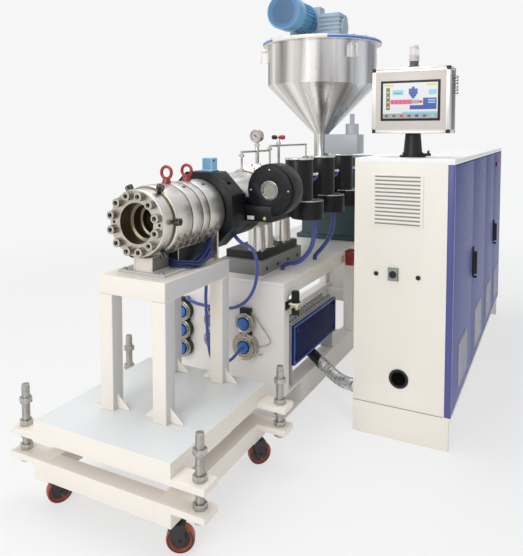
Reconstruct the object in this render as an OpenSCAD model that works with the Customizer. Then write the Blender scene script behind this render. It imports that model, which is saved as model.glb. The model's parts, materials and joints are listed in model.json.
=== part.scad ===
// Pipe extrusion line: die on a trolley, heated barrel with hopper on a base, and control cabinet.
// X runs along the line from the die to the drive, Z is up, and the cabinet stands on the -Y side.
// The origin is on the floor below the extrusion axis, just behind the base's front panel.

/* [Line] */
// Height of the extrusion axis above the floor
axis_z = 1157; // [1120:1:1220]
// Gap between pieces that seat on each other on round or welded faces
seat = 0.3; // [0.2:0.05:0.5]
// Radial clearance of a pin in its hole
run = 0.05; // [0.02:0.01:0.1]
// Clear space kept around moving pieces
clear = 6; // [5:0.5:9]

/* [Base] */
// Length of the machine base
base_l = 2350; // [2200:10:2600]
// Width of the machine base
base_w = 694; // [640:2:760]
// Height of the base's top face
base_h = 737; // [700:1:780]
// Distance from the origin forward to the base's front panel
base_front = 50; // [30:1:80]
// Distance from the extrusion axis to the base's right side
base_right = 254; // [240:1:300]
// Width of the bottom skids
skid_w = 90; // [70:1:120]
// Height of the bottom skids
skid_h = 135; // [100:1:160]
// Length of the bolt pocket at each end of a skid
pocket_l = 240; // [160:5:300]
// Radius of an anchor bolt hole
anchor_r = 11; // [8:0.5:14]
// Width of a post
post_w = 65; // [50:1:90]
// Height of a top rail
top_rail_h = 65; // [50:1:80]
// Thickness of the top plate
top_t = 20; // [12:1:30]
// Thickness of sheet panels
sheet_t = 6; // [3:0.5:10]

/* [Terminal box] */
// Length of the terminal box
term_l = 640; // [500:5:700]
// Depth of the terminal box
term_d = 95; // [70:1:120]
// Height of the terminal box
term_h = 205; // [160:1:240]
// Height of the terminal box above the floor
term_z = 255; // [240:1:290]
// Thickness of the terminal box's cover
term_cover_t = 16; // [8:1:24]

/* [Heater sockets] */
// Radius of a socket's collar
collar_r = 52; // [40:1:54]
// Radius of the coiled large collar
big_collar_r = 70; // [60:1:74]
// Radius of a socket's cap
cap_r = 33; // [24:1:36]
// Depth of a socket
socket_d = 40; // [25:1:60]

/* [Barrel] */
// Radius of the barrel's cover
barrel_r = 160; // [140:1:165]
// Length of the barrel's cover
barrel_l = 1380; // [1340:5:1420]
// Length of the octagonal heater cover
octagon_l = 130; // [90:1:160]
// Width of the octagonal heater cover across its flats
octagon_w = 362; // [330:1:400]
// Number of cooled zones
zone_n = 3; // [2:1:3]
// Distance between cooled zones
zone_pitch = 342; // [300:1:345]
// Distance from the origin to the first cooled zone
zone_x = 157; // [120:1:180]
// Radius of a zone blower's motor
motor_r = 76; // [60:1:85]
// Radius of a zone blower's fan case
fan_r = 88; // [78:1:95]
// Radius of the front blower
front_fan_r = 114; // [100:1:125]

/* [Hopper] */
// Radius of the hopper's cylinder
hopper_r = 381; // [340:1:420]
// Height of the hopper's cylinder
hopper_h = 277; // [220:1:320]
// Height of the hopper's cone
cone_h = 339; // [300:1:380]
// Radius of the spout
spout_r = 52; // [40:1:60]
// Length of the spout
spout_h = 183; // [160:1:200]
// Thickness of the hopper's sheet
hopper_t = 5; // [3:0.5:8]
// Overhang of the lid
lid_over = 37; // [20:1:50]
// Thickness of the lid
lid_t = 26; // [16:1:36]

/* [Die] */
// Radius of the die's body
die_r = 150; // [140:1:158]
// Length of the die
die_l = 460; // [440:1:480]
// Radius of the die's front ring
ring_r = 139; // [135:1:145]
// Length of the die's front ring
ring_l = 58; // [50:1:70]
// Radius of the die's mouth
mouth_r = 85; // [76:1:90]
// Radius of the die's outlet bore
outlet_r = 50; // [40:1:60]
// Number of front screws
screw_n = 12; // [8:1:12]
// Number of radial adjusting bolts
adjust_n = 6; // [4:1:8]

/* [Trolley] */
// Length of the platform
deck_l = 742; // [700:1:800]
// Width of the platform
deck_w = 672; // [620:1:720]
// Height of the platform's top above the floor
deck_z = 369; // [350:1:400]
// Thickness of the platform
deck_t = 82; // [60:1:90]
// Height of the lower frame's top above the floor
frame_z = 211; // [205:1:225]
// Depth of the lower frame's beams
frame_d = 78; // [70:1:80]
// Width of the lower frame's beams
frame_w = 70; // [64:1:90]
// Radius of a jack screw
jack_r = 15; // [12:0.5:18]
// Length of the stand
stand_l = 494; // [470:1:520]
// Width of the stand
stand_w = 334; // [320:1:380]
// Height of the stand's top above the floor
stand_z = 940; // [920:1:960]
// Depth of the stand's beams
beam_d = 80; // [60:1:100]
// Width of a stand leg
leg_w = 65; // [50:1:80]

/* [Castors] */
// Radius of a castor wheel
wheel_r = 53; // [48:1:54]
// Width of a castor wheel
wheel_w = 34; // [28:1:38]
// Offset of the axle from the swivel axis
trail = 30; // [24:1:34]
// Radius of the axle
axle_r = 5; // [4:0.5:7]

/* [Cabinet] */
// Length of the cabinet
cab_l = 2400; // [2200:10:2600]
// Depth of the cabinet
cab_d = 481; // [440:1:520]
// Height of the cabinet
cab_h = 1400; // [1380:1:1500]
// Distance from the origin back to the cabinet's end face
cab_x = 32; // [20:1:60]
// Distance from the extrusion axis to the cabinet's door face
cab_side = 1090; // [1080:1:1140]
// Height of the plinth
plinth_h = 153; // [120:1:180]
// Depth of the toe space under the doors
toe_in = 90; // [60:1:120]
// Length of the first pair of doors with its front post
bay_1 = 1300; // [1200:5:1320]
// Thickness of a door
door_t = 20; // [16:1:24]
// Gap at a door's hinge edge
hinge_gap = 9; // [9:0.5:12]
// Distance of a hinge pin from the edges of its door
hinge_in = 8; // [7:0.5:8]
// Radius of a hinge pin
pin_r = 4; // [3:0.5:4]
// Thickness of the cabinet's walls
wall_t = 20; // [15:1:25]
// Thickness of the roof
roof_t = 25; // [20:1:30]
// Thickness of the floor plate
floor_t = 12; // [10:1:16]
// Width of a corner post
corner_w = 27; // [25:1:40]
// Side of the square vent on the end wall
vent_w = 250; // [200:5:280]
// Width of a door's vent
door_vent_w = 270; // [220:5:300]
// Height of a door's vent
door_vent_h = 222; // [180:2:240]
// Radius of the cable port in the end wall
port_r = 36; // [30:1:45]

/* [Operator panel] */
// Width of the panel's housing
hmi_w = 385; // [340:1:420]
// Height of the panel's housing
hmi_h = 327; // [300:1:360]
// Depth of the panel's housing
hmi_d = 160; // [130:1:180]
// Height of the pedestal
stem_h = 122; // [100:1:150]
// Radius of the beacon
beacon_r = 25; // [20:1:30]

/* [Hidden] */
$fn = 48;
base_x0 = -base_front;
base_x1 = base_x0 + base_l;
base_y0 = -base_right;
base_y1 = base_y0 + base_w;
frame_x0 = base_x0 + sheet_t;
frame_x1 = base_x1 - sheet_t;
top_rail_z = base_h - top_t - top_rail_h;
anchor_in = skid_w / 2;
term_x = 92;
octagon_x = -460;
barrel_x = octagon_x + octagon_l;
hopper_x = barrel_x + barrel_l + 82;
throat_x = barrel_x + barrel_l;
throat_l = 2 * (hopper_x - throat_x);
throat_w = 300;
throat_top = axis_z + 177;
spout_z = throat_top + spout_h;
cone_top = spout_z + cone_h;
rim_z = cone_top + hopper_h;
lid_top = rim_z + lid_t;
fan_y = -barrel_r - fan_r - 52;
zone_motor_y = -barrel_r - motor_r - 14;
fan_top = axis_z - 1;
fan_h = 97;
zone_motor_h = 224;
front_fan_x = barrel_x + 10;
front_fan_y = -barrel_r - front_fan_r - 30;
front_fan_z = axis_z + 95;
die_x = octagon_x - die_l;
die_ring_x = die_x + ring_l;
deck_x = die_x - 243;
stand_x = die_x - 38;
ear_l = 140;
ear_w = 90;
ear_t = 25;
jack_out = 94;
castor_in = 57;
castor_y = deck_w / 2 - frame_w / 2;
castor_top = frame_z - frame_d;
swivel_plate = 6;
king_r = 6;
// Castor order: front right, front left, rear right, rear left; heading is the axle's direction
headings = [-60, -30, -40, 120];
cab_y0 = -cab_side;
cab_y1 = cab_y0 + cab_d;
cab_x1 = cab_x + cab_l;
cab_mid = cab_x + bay_1;
mid_gap = 6;
latch_gap = 6;
door_z0 = plinth_h + floor_t + clear;
door_z1 = cab_h - roof_t - clear;
behind_door = cab_y0 + door_t + 8;
bay_a0 = cab_x + corner_w + hinge_gap;
bay_a1 = cab_mid - mid_gap;
bay_b0 = cab_mid + mid_gap;
bay_b1 = cab_x1 - corner_w - hinge_gap;
hmi_x = cab_x + 200;
hmi_y = cab_y1 - 241;
hmi_z = cab_h + stem_h;
sockets = [[-38, 504, collar_r], [-38, 376, big_collar_r], [162, 490, collar_r], [162, 385, collar_r],
    [362, 515, collar_r], [362, 410, collar_r], [362, 305, collar_r]];

// Routes of the free hoses, as points along their centre lines
front_hose_r = 9;
front_hose = [[-345, -128, 1029], [-345, -148, 1009], [-325, -162, 988], [-285, -165, 972], [-240, -162, 952],
    [-200, -160, 922], [-170, -156, 882], [-150, -150, 837], [-135, -140, 787], [-123, -125, 735],
    [-113, -100, 685], [-105, -68, 642], [-100, -30, 610], [-100, 15, 587], [-100, 65, 577], [-100, 120, 573],
    [-100, 175, 572], [-100, 230, 575], [-98, 280, 582], [-85, 325, 588], [-66, 345, 590], [-50, 345, 590]];
drop_hose_r = 8;
drop_hose = [[-498, -60, 958], [-478, -60, 958], [-450, -50, 955], [-425, -35, 938], [-410, -20, 905],
    [-405, -10, 865], [-405, -5, 815], [-405, -2, 765], [-405, 0, 715], [-405, -2, 665], [-405, -5, 615],
    [-405, -8, 565], [-403, -11, 515], [-398, -14, 465], [-385, -18, 420], [-355, -22, 385], [-310, -26, 362],
    [-260, -30, 352], [-210, -33, 352], [-165, -36, 364], [-130, -38, 376], [-110, -38, 376]];
zone_hose_r = 13;
zone_hose_1 = [[190, -330, 1059], [190, -330, 1015], [192, -327, 970], [196, -318, 925], [202, -300, 880],
    [208, -272, 840], [215, -238, 808], [222, -200, 788], [228, -160, 778], [230, -130, 765], [230, -118, 752],
    [230, -118, 737]];
zone_hose_2 = [[520, -320, 1059], [520, -320, 1015], [525, -312, 960], [535, -292, 905], [548, -262, 855],
    [560, -225, 810], [568, -192, 775], [570, -180, 755], [570, -180, 737]];
conduit_r = 35;
conduit = [[410, -195, 255], [410, -195, 240], [402, -235, 205], [378, -290, 180], [340, -350, 162],
    [290, -410, 153], [235, -470, 156], [180, -535, 170], [145, -572, 184], [130, -590, 188], [130, -609, 188]];

// Box between two opposite corners
module block(a, b) {
    translate(a) cube(b - a);
}

// Round bar along X, Y or Z from a start point
module bar_x(p, r, l) {
    translate(p) rotate([0, 90, 0]) cylinder(r = r, h = l);
}
module bar_y(p, r, l) {
    translate(p) rotate([-90, 0, 0]) cylinder(r = r, h = l);
}
module bar_z(p, r, l) {
    translate(p) cylinder(r = r, h = l);
}

// Hexagonal prism standing on a point
module hex_nut(p, r, l) {
    translate(p) cylinder(r = r, h = l, $fn = 6);
}

// Shape turned about the extrusion axis, with its profile as [distance along X, radius] points
module turned(profile) {
    translate([0, 0, axis_z]) rotate([0, 90, 0]) rotate_extrude($fn = 64)
        polygon([for (p = profile) [p[1], p[0]]]);
}

// Tube of a hose, swept along the points of its route
function along(p, i) = let (d = p[min(i + 1, len(p) - 1)] - p[max(i - 1, 0)]) d / norm(d);
function across(d) = let (c = cross(d, [0.31, 0.17, 0.93])) c / norm(c);
module hose(points, r, sides = 10) {
    n = len(points);
    ring_points = [for (i = [0 : n - 1])
        let (d = along(points, i), u = across(d), v = cross(d, u))
        for (k = [0 : sides - 1])
            points[i] + r * (cos(360 * k / sides) * u + sin(360 * k / sides) * v)];
    walls = [for (i = [0 : n - 2], k = [0 : sides - 1])
        let (a = i * sides + k, b = i * sides + (k + 1) % sides)
        each [[a, a + sides, b + sides], [a, b + sides, b]]];
    start = [for (k = [0 : sides - 1]) k];
    finish = [for (k = [sides - 1 : -1 : 0]) (n - 1) * sides + k];
    polyhedron(ring_points, concat(walls, [start], [finish]));
}

// Machine base
module base_skids() {
    color("whitesmoke") for (side = [0, 1]) {
        y = side == 0 ? base_y0 : base_y1 - skid_w;
        outer = side == 0 ? y - 1 : y + 10;
        difference() {
            block([frame_x0, y, 0], [frame_x1, y + skid_w, skid_h]);
            for (x = [frame_x0 - 1, frame_x1 - pocket_l])
                block([x, outer, 12], [x + pocket_l + 1, outer + skid_w - 9, skid_h - 12]);
            for (x = [frame_x0 + pocket_l / 2, frame_x1 - pocket_l / 2])
                bar_z([x, y + anchor_in, -1], anchor_r, 14);
        }
    }
}

module base_frame() {
    inner_0 = base_y0 + skid_w + seat;
    inner_1 = base_y1 - skid_w - seat;
    cross_l = 100;
    post_step = (frame_x1 - frame_x0 - post_w) / 2;
    color("whitesmoke") {
        for (i = [0 : 2], y = [base_y0, base_y1 - post_w]) {
            x = frame_x0 + i * post_step;
            block([x, y, skid_h], [x + post_w, y + post_w, top_rail_z - seat]);
        }
        for (i = [0 : 2]) {
            x = frame_x0 + i * (frame_x1 - frame_x0 - cross_l) / 2;
            block([x, inner_0, 0], [x + cross_l, inner_1, skid_h - 35]);
        }
        for (y = [base_y0, base_y1 - post_w])
            block([frame_x0, y, top_rail_z], [frame_x1, y + post_w, top_rail_z + top_rail_h]);
        for (i = [0 : 2]) {
            x = frame_x0 + i * post_step;
            block([x, base_y0 + post_w + seat, top_rail_z],
                [x + post_w, base_y1 - post_w - seat, top_rail_z + top_rail_h]);
        }
    }
}

module base_top() {
    color("white") block([base_x0, base_y0, base_h - top_t], [base_x1, base_y1, base_h]);
}

module base_panels() {
    color("whitesmoke") for (x = [base_x0, frame_x1])
        block([x, base_y0, 8], [x + sheet_t, base_y1, base_h - top_t]);
}

module terminal_box() {
    y0 = base_y0 + 14;
    gland_n = 16;
    color("silver") {
        block([term_x, y0, term_z], [term_x + term_l, y0 + term_d, term_z + term_h]);
        for (x = [term_x, term_x + term_l - sheet_t])
            block([x, y0, skid_h], [x + sheet_t, base_y0 + skid_w, term_z + 1]);
        for (i = [0 : gland_n - 1], row = [0, 1])
            bar_z([term_x + (i + 0.5) * term_l / gland_n, y0 + (row + 0.5) * term_d / 2, term_z + term_h],
                9, 18);
    }
}

module terminal_cover() {
    y0 = base_y0 + 14;
    lip = 7;
    color("midnightblue")
        block([term_x - lip, y0 - term_cover_t, term_z - lip], [term_x + term_l + lip, y0, term_z + term_h + lip]);
}

module air_regulator() {
    x = frame_x0 + post_w - 8;
    y = base_y0 - 40;
    z = 600;
    color("dimgray") {
        block([x - 45, base_y0 - 5, z - 10], [x + 30, base_y0, z + 34]);
        block([x - 12, y, z + 4], [x + 12, base_y0 - 4, z + 16]);
        bar_z([x, y, z - 38], 21, 62);
        bar_z([x, y, z + 24], 27, 8);
        bar_z([x, y, z + 32], 19, 56);
        bar_x([x - 34, y, z - 4], 9, 68);
    }
}

module stop_box() {
    color("darkred") {
        block([930, base_y0 - 55, base_h - 102], [1020, base_y0, base_h - 4]);
        bar_y([975, base_y0 - 75, base_h - 55], 22, 21);
    }
}

// Heater sockets on the front panel
module heater_sockets() {
    color("gray") for (s = sockets) {
        p = [base_x0 - socket_d, s[0], s[1]];
        difference() {
            union() {
                bar_x(p, s[2], socket_d);
                bar_x(p - [8, 0, 0], s[2] - 8, 9);
            }
            bar_x(p - [9, 0, 0], cap_r + 3, socket_d - 11);
        }
    }
}

module socket_caps() {
    color("dodgerblue") for (s = sockets) {
        p = [base_x0 - 20, s[0], s[1]];
        translate(p) rotate([0, -90, 0]) {
            cylinder(r = cap_r, h = 34);
            cylinder(r = cap_r - 8, h = 40);
        }
    }
}

// Barrel and its support
module barrel_support() {
    x0 = 42;
    l = 540;
    y0 = -80;
    y1 = 180;
    h = 80;
    color("dimgray") difference() {
        union() {
            block([x0, y0, base_h], [x0 + l, y1, base_h + h]);
            block([x0 + 30, y0 + 15, base_h + h], [x0 + l - 30, y1 - 15, base_h + h + 45]);
            for (x = [x0 + 90, x0 + 190, x0 + l - 110])
                translate([x, 0, base_h + h + 44])
                    cylinder(r1 = 52, r2 = 40, h = axis_z - base_h - h - 44);
        }
        bar_x([x0 - 1, 0, axis_z], barrel_r + seat, l + 2);
        for (x = [x0 + 60 : 140 : x0 + l - 40])
            bar_y([x, y0 - 1, base_h + 25], 9, 12);
    }
}

module barrel() {
    groove = 4;
    seams = [for (i = [0 : zone_n]) zone_x - zone_pitch / 2 + i * zone_pitch];
    cover = concat([[barrel_x, 0], [barrel_x, barrel_r]],
        [for (x = seams) each [[x, barrel_r], [x, barrel_r - groove], [x + 8, barrel_r - groove], [x + 8, barrel_r]]],
        [[barrel_x + barrel_l, barrel_r], [barrel_x + barrel_l, 0]]);
    color("gainsboro") turned(cover);
}

module heater_cover() {
    slot_l = 34;
    color("black") difference() {
        translate([octagon_x, 0, axis_z]) rotate([0, 90, 0]) rotate([0, 0, 22.5])
            cylinder(r = octagon_w / 2 / cos(22.5), h = octagon_l, $fn = 8);
        translate([octagon_x + octagon_l / 2, 0, axis_z]) rotate([45, 0, 0])
            block([-slot_l / 2, -8, octagon_w / 2 - 12], [slot_l / 2, 8, octagon_w / 2 + 5]);
    }
}

module sensor_box() {
    z = axis_z + octagon_w / 2;
    color("lightblue") {
        block([octagon_x + 40, -50, z], [octagon_x + 100, 20, z + 8]);
        block([octagon_x + 45, -45, z + 8], [octagon_x + 95, 10, z + 66]);
    }
}

// Blowers beside the barrel: one facing the die and one for each cooled zone
module cooling_blowers() {
    duct_z = fan_top - 72;
    color("black") {
        difference() {
            union() {
                bar_x([front_fan_x, front_fan_y, front_fan_z], front_fan_r, 100);
                bar_x([front_fan_x + 20, front_fan_y, front_fan_z], front_fan_r + 12, 90);
                block([front_fan_x + 20, front_fan_y, front_fan_z - front_fan_r - 12],
                    [front_fan_x + 110, 0, front_fan_z - 40]);
            }
            bar_x([front_fan_x - 1, front_fan_y, front_fan_z], 38, 16);
            bar_x([front_fan_x, 0, axis_z], barrel_r + seat, 120);
        }
        for (i = [0 : zone_n - 1]) translate([zone_x + i * zone_pitch, 0, 0]) difference() {
            union() {
                bar_z([0, fan_y, fan_top - fan_h], fan_r, fan_h);
                bar_z([0, zone_motor_y, fan_top - 1], motor_r, zone_motor_h);
                block([-45, fan_y, duct_z - 20], [45, 0, duct_z + 55]);
            }
            bar_x([-60, 0, axis_z], barrel_r + seat, 120);
        }
    }
}

module blower_lids() {
    rim = 4;
    color("silver") {
        for (i = [0 : zone_n - 1]) translate([zone_x + i * zone_pitch, 0, 0]) {
            bar_z([0, zone_motor_y, fan_top - 1 + zone_motor_h], motor_r + rim, 7);
            difference() {
                bar_z([0, fan_y, fan_top], fan_r, 4);
                bar_z([0, zone_motor_y, fan_top - 1], motor_r + seat, 8);
            }
        }
        difference() {
            bar_x([front_fan_x - 4, front_fan_y, front_fan_z], 46, 4);
            bar_x([front_fan_x - 5, front_fan_y, front_fan_z], 36, 6);
        }
        bar_x([front_fan_x + 8, front_fan_y, front_fan_z], 37, 7);
    }
}

module pipework() {
    z0 = axis_z + barrel_r;
    pipe_r = 6;
    x_a = zone_x - 200;
    x_b = zone_x + 140;
    gauge_z = axis_z + 349;
    color("lightgray") {
        bar_z([x_a, 0, z0 + seat], pipe_r, 110);
        bar_x([x_a - pipe_r, 0, z0 + 104], pipe_r, x_b - x_a + 2 * pipe_r);
        bar_z([x_b, 0, z0 + seat], pipe_r, 130);
        bar_x([x_b - pipe_r, 0, z0 + 130], pipe_r, 560);
        bar_z([x_a + 180, 0, z0 + seat], 11, gauge_z - z0 - 20);
        bar_x([x_a + 165, 0, gauge_z], 36, 30);
        bar_z([x_b + 120, 0, z0 + seat], 9, 190);
        bar_y([x_b + 120, -40, z0 + 180], 8, 80);
    }
}

// Feed throat, hopper and its mixer drive
module feed_throat() {
    color("darkgray") difference() {
        union() {
            block([throat_x, -throat_w / 2, axis_z - 150], [throat_x + throat_l, throat_w / 2, throat_top - 18]);
            block([throat_x + 10, -90, throat_top - 19], [throat_x + throat_l - 10, 90, throat_top]);
            block([hopper_x - 75, -290, throat_top + 46], [hopper_x + 75, -spout_r - seat, throat_top + 180]);
            bar_z([hopper_x - 20, -235, throat_top + 179], 45, 74);
            bar_z([hopper_x - 20, -235, throat_top + 252], 16, 70);
        }
        bar_z([hopper_x, 0, throat_top - 40], spout_r - hopper_t, 60);
        bar_z([hopper_x, 0, throat_top], spout_r + seat, 400);
    }
}

module hopper_shell() {
    flange_r = spout_r + 30;
    outer = [[flange_r, throat_top], [flange_r, throat_top + 12], [spout_r, throat_top + 12], [spout_r, spout_z],
        [hopper_r, cone_top], [hopper_r, rim_z - 6], [hopper_r + 14, rim_z - 6], [hopper_r + 14, rim_z]];
    inner = [[hopper_r - hopper_t, rim_z], [hopper_r - hopper_t, cone_top],
        [spout_r - hopper_t, spout_z], [spout_r - hopper_t, throat_top]];
    color("silver") translate([hopper_x, 0, 0]) rotate_extrude($fn = 72) polygon(concat(outer, inner));
}

module hopper_lid() {
    r = hopper_r + lid_over;
    color("ivory") translate([hopper_x, 0, rim_z]) rotate_extrude($fn = 72)
        polygon([[0, 0], [r, 0], [r, lid_t - 8], [r - 10, lid_t], [0, lid_t]]);
}

module mixer_gearbox() {
    x = hopper_x;
    y = -75;
    color("slategray") {
        bar_z([x, y, lid_top], 95, 16);
        block([x - 80, y - 80, lid_top + 15], [x + 80, y + 80, lid_top + 190]);
        bar_y([x, y - 100, lid_top + 100], 60, 21);
        block([x - 30, y + 79, lid_top + 60], [x + 60, y + 310, lid_top + 250]);
    }
}

module mixer_motor() {
    r = 110;
    x1 = hopper_x - 30;
    y = 130;
    z = lid_top + 168;
    color("steelblue") {
        bar_x([x1 - 20, y, z], r, 20);
        bar_x([x1 - 232, y, z], r - 14, 214);
        for (i = [0 : 23]) translate([x1 - 222, y, z]) rotate([i * 15, 0, 0])
            block([0, -2, r - 20], [195, 2, r - 3]);
        bar_x([x1 - 340, y, z], r + 8, 112);
    }
}

// Drive behind the hopper
module gearbox() {
    x0 = throat_x + throat_l;
    l = 520;
    w = 420;
    z1 = axis_z + 190;
    rib = 16;
    color("darkslategray") {
        block([x0, -150, axis_z - 150], [x0 + 60, 150, axis_z + 150]);
        block([x0 + 59, -w / 2, base_h + 30], [x0 + l, w / 2, z1]);
        block([x0 + 30, -w / 2 - 30, base_h], [x0 + l, w / 2 + 30, base_h + 31]);
        for (x = [x0 + 120 : 110 : x0 + l - 60], y = [-w / 2 - 18, w / 2 - 1])
            block([x, y, base_h + 30], [x + rib, y + 19, z1 - 30]);
        block([x0 + 75, -w / 2 - 14, axis_z - 60], [x0 + l - 10, w / 2 + 14, axis_z - 30]);
    }
}

module drive_motor() {
    x0 = throat_x + throat_l + 520;
    r = 175;
    z = base_h + 245;
    l = base_x1 - x0 - 30;
    color("steelblue") {
        bar_x([x0, 0, z], r + 25, 30);
        bar_x([x0 + 29, 0, z], r - 15, l - 140);
        for (i = [0 : 29]) translate([x0 + 29, 0, z]) rotate([i * 12, 0, 0])
            block([0, -2.5, r - 20], [l - 150, 2.5, r]);
        bar_x([x0 + l - 112, 0, z], r + 8, 112);
        block([x0 + 60, -90, z + r - 20], [x0 + 220, 90, z + r + 90]);
        for (y = [-160, 110])
            block([x0 + 50, y, base_h], [x0 + l - 140, y + 50, z - 60]);
    }
}

// Die
module die_body() {
    groove = 5;
    wall = die_r - groove;
    seams = [die_ring_x + 126, die_ring_x + 206, die_ring_x + 262];
    shell = concat([[die_x, mouth_r], [die_x, ring_r - 4], [die_x + 4, ring_r], [die_ring_x, ring_r],
        [die_ring_x, ring_r - 14], [die_ring_x + 14, ring_r - 14], [die_ring_x + 14, die_r - 4],
        [die_ring_x + 18, die_r]],
        [for (x = seams) each [[x, die_r], [x, wall], [x + groove, wall], [x + groove, die_r]]],
        [[octagon_x - 12, die_r], [octagon_x - 12, die_r - 14], [octagon_x, die_r - 14], [octagon_x, 0]]);
    hollow = [[die_x + 280, 0], [die_x + 280, outlet_r], [die_x + 180, outlet_r], [die_x + 140, outlet_r + 14],
        [die_x + 120, outlet_r + 14], [die_x + 120, mouth_r - 12], [die_x + 70, mouth_r - 12],
        [die_x + 70, mouth_r]];
    color("silver") turned(concat(shell, hollow));
}

module die_screws() {
    pcd_r = 116;
    head_r = 15;
    head_h = 24;
    color("gainsboro") for (i = [0 : screw_n - 1]) translate([0, 0, axis_z]) rotate([(i + 0.5) * 360 / screw_n, 0, 0])
        difference() {
            bar_x([die_x - head_h, 0, pcd_r], head_r, head_h);
            translate([die_x - head_h - 1, 0, pcd_r]) rotate([0, 90, 0]) cylinder(r = 9, h = 13, $fn = 6);
        }
    color("black") for (i = [0 : adjust_n - 1])
        translate([die_ring_x + 7, 0, axis_z]) rotate([i * 360 / adjust_n - 33, 0, 0]) {
            bar_z([0, 0, ring_r - 14 + seat], 6.5, die_r + 2 - ring_r + 14);
            hex_nut([0, 0, die_r + 1.5], 17, 20);
        }
}

module eye_bolts() {
    ring = 26;
    bar = 7;
    color("crimson") for (x = [die_x + 206, die_x + 360]) translate([x, 0, axis_z + die_r + seat]) {
        cylinder(r1 = 20, r2 = 15, h = 18);
        translate([0, 0, 18 + ring]) rotate([0, 90, 0]) rotate_extrude() translate([ring, 0]) circle(r = bar);
    }
}

module die_saddle() {
    plate_t = 12;
    z0 = stand_z + plate_t;
    x0 = die_x + 40;
    color("dimgray") difference() {
        union() {
            block([x0 - 20, -120, stand_z], [octagon_x - 60, 120, z0]);
            block([x0, -48, z0 - 1], [x0 + 110, 48, axis_z]);
            block([x0 + 130, -85, z0 - 1], [octagon_x - 80, 85, axis_z]);
        }
        bar_x([x0 - 30, 0, axis_z], die_r + seat, die_l);
    }
    color("silver") difference() {
        block([octagon_x - 50, -132, stand_z], [octagon_x - 38, 132, axis_z]);
        bar_x([octagon_x - 60, 0, axis_z], die_r + seat, 40);
    }
}

// Stand, platform and trolley
module stand() {
    gusset = 60;
    leg_top = stand_z - beam_d - seat;
    color("linen") {
        block([stand_x, -stand_w / 2, stand_z - beam_d], [stand_x + stand_l, stand_w / 2, stand_z]);
        for (x = [stand_x, stand_x + stand_l - leg_w], s = [-1, 1]) {
            y = s < 0 ? -stand_w / 2 : stand_w / 2 - leg_w;
            block([x, y, deck_z], [x + leg_w, y + leg_w, leg_top]);
            for (t = [-1, 1])
                translate([x + leg_w / 2 - 3, y + leg_w / 2 + t * leg_w / 2, deck_z]) rotate([90, 0, 90])
                    linear_extrude(6) polygon([[0, 0], [t * gusset, 0], [t * gusset, 6], [0, gusset]]);
        }
    }
}

// Ear plate beside a corner, drilled for a jack screw; s is the side, x its start, z its underside
module ear(x, s, z) {
    y = s * deck_w / 2;
    difference() {
        block([x, min(y, y + s * ear_l), z], [x + ear_w, max(y, y + s * ear_l), z + ear_t]);
        bar_z([x + ear_w / 2, y + s * jack_out, z - 1], jack_r + seat, ear_t + 2);
    }
}

module platform() {
    color("lightgray") {
        block([deck_x, -deck_w / 2, deck_z - deck_t], [deck_x + deck_l, deck_w / 2, deck_z]);
        for (x = [deck_x, deck_x + deck_l - ear_w], s = [-1, 1]) ear(x, s, deck_z - deck_t);
    }
}

module jack_screws() {
    nut_r = 27;
    nut_h = 22;
    low_ear = frame_z - ear_t;
    high_ear = deck_z - deck_t;
    color("silver") for (x = [deck_x, deck_x + deck_l - ear_w], s = [-1, 1])
        translate([x + ear_w / 2, s * (deck_w / 2 + jack_out), 0]) {
            bar_z([0, 0, low_ear - nut_h - 8], jack_r, deck_z + 145 - low_ear);
            for (z = [low_ear - nut_h, frame_z, high_ear - nut_h, high_ear + ear_t, deck_z + 38])
                hex_nut([0, 0, z], nut_r, nut_h);
        }
}

module trolley_frame() {
    z0 = frame_z - frame_d;
    y1 = deck_w / 2;
    color("linen") {
        for (s = [-1, 1]) {
            block([deck_x, min(s * y1, s * (y1 - frame_w)), z0],
                [deck_x + deck_l, max(s * y1, s * (y1 - frame_w)), frame_z]);
            for (x = [deck_x, deck_x + deck_l - ear_w]) ear(x, s, frame_z - ear_t);
            for (x = [deck_x + castor_in, deck_x + deck_l - castor_in]) translate([x, s * castor_y, 0]) {
                block([-castor_in + 2, -frame_w / 2 + 2, z0 - swivel_plate],
                    [castor_in - 2, frame_w / 2 - 2, z0 + 1]);
                bar_z([0, 0, 2 * wheel_r + clear - 1], king_r, z0 - 2 * wheel_r - clear);
            }
        }
        for (x = [deck_x, deck_x + deck_l - frame_w])
            block([x, -y1 + frame_w + seat, z0], [x + frame_w, y1 - frame_w - seat, frame_z]);
    }
}

// Place of castor i: swivel axis over the floor, turned to its heading
module castor_place(i) {
    x = i < 2 ? deck_x + castor_in : deck_x + deck_l - castor_in;
    y = (i % 2 == 0 ? -1 : 1) * castor_y;
    translate([x, y, 0]) rotate([0, 0, headings[i]]) children();
}

module castor_fork(i) {
    head_z = 2 * wheel_r + clear;
    head_top = castor_top - swivel_plate - seat;
    leg = wheel_w / 2 + clear;
    leg_t = 4;
    color("dimgray") castor_place(i) difference() {
        union() {
            bar_z([0, 0, head_z], 25, head_top - head_z);
            block([-22, -leg - leg_t, head_z], [trail + 20, leg + leg_t, head_z + 4]);
            for (s = [-1, 1])
                translate([0, s > 0 ? leg + leg_t : -leg, 0]) rotate([90, 0, 0]) linear_extrude(leg_t)
                    polygon([[-20, head_z + 4], [trail + 20, head_z + 4], [trail + 14, wheel_r - 14],
                        [trail - 14, wheel_r - 14]]);
            bar_y([trail, -leg - leg_t - 6, wheel_r], axle_r, 2 * (leg + leg_t) + 12);
        }
        bar_z([0, 0, head_z - 1], king_r + run, 60);
    }
}

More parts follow.
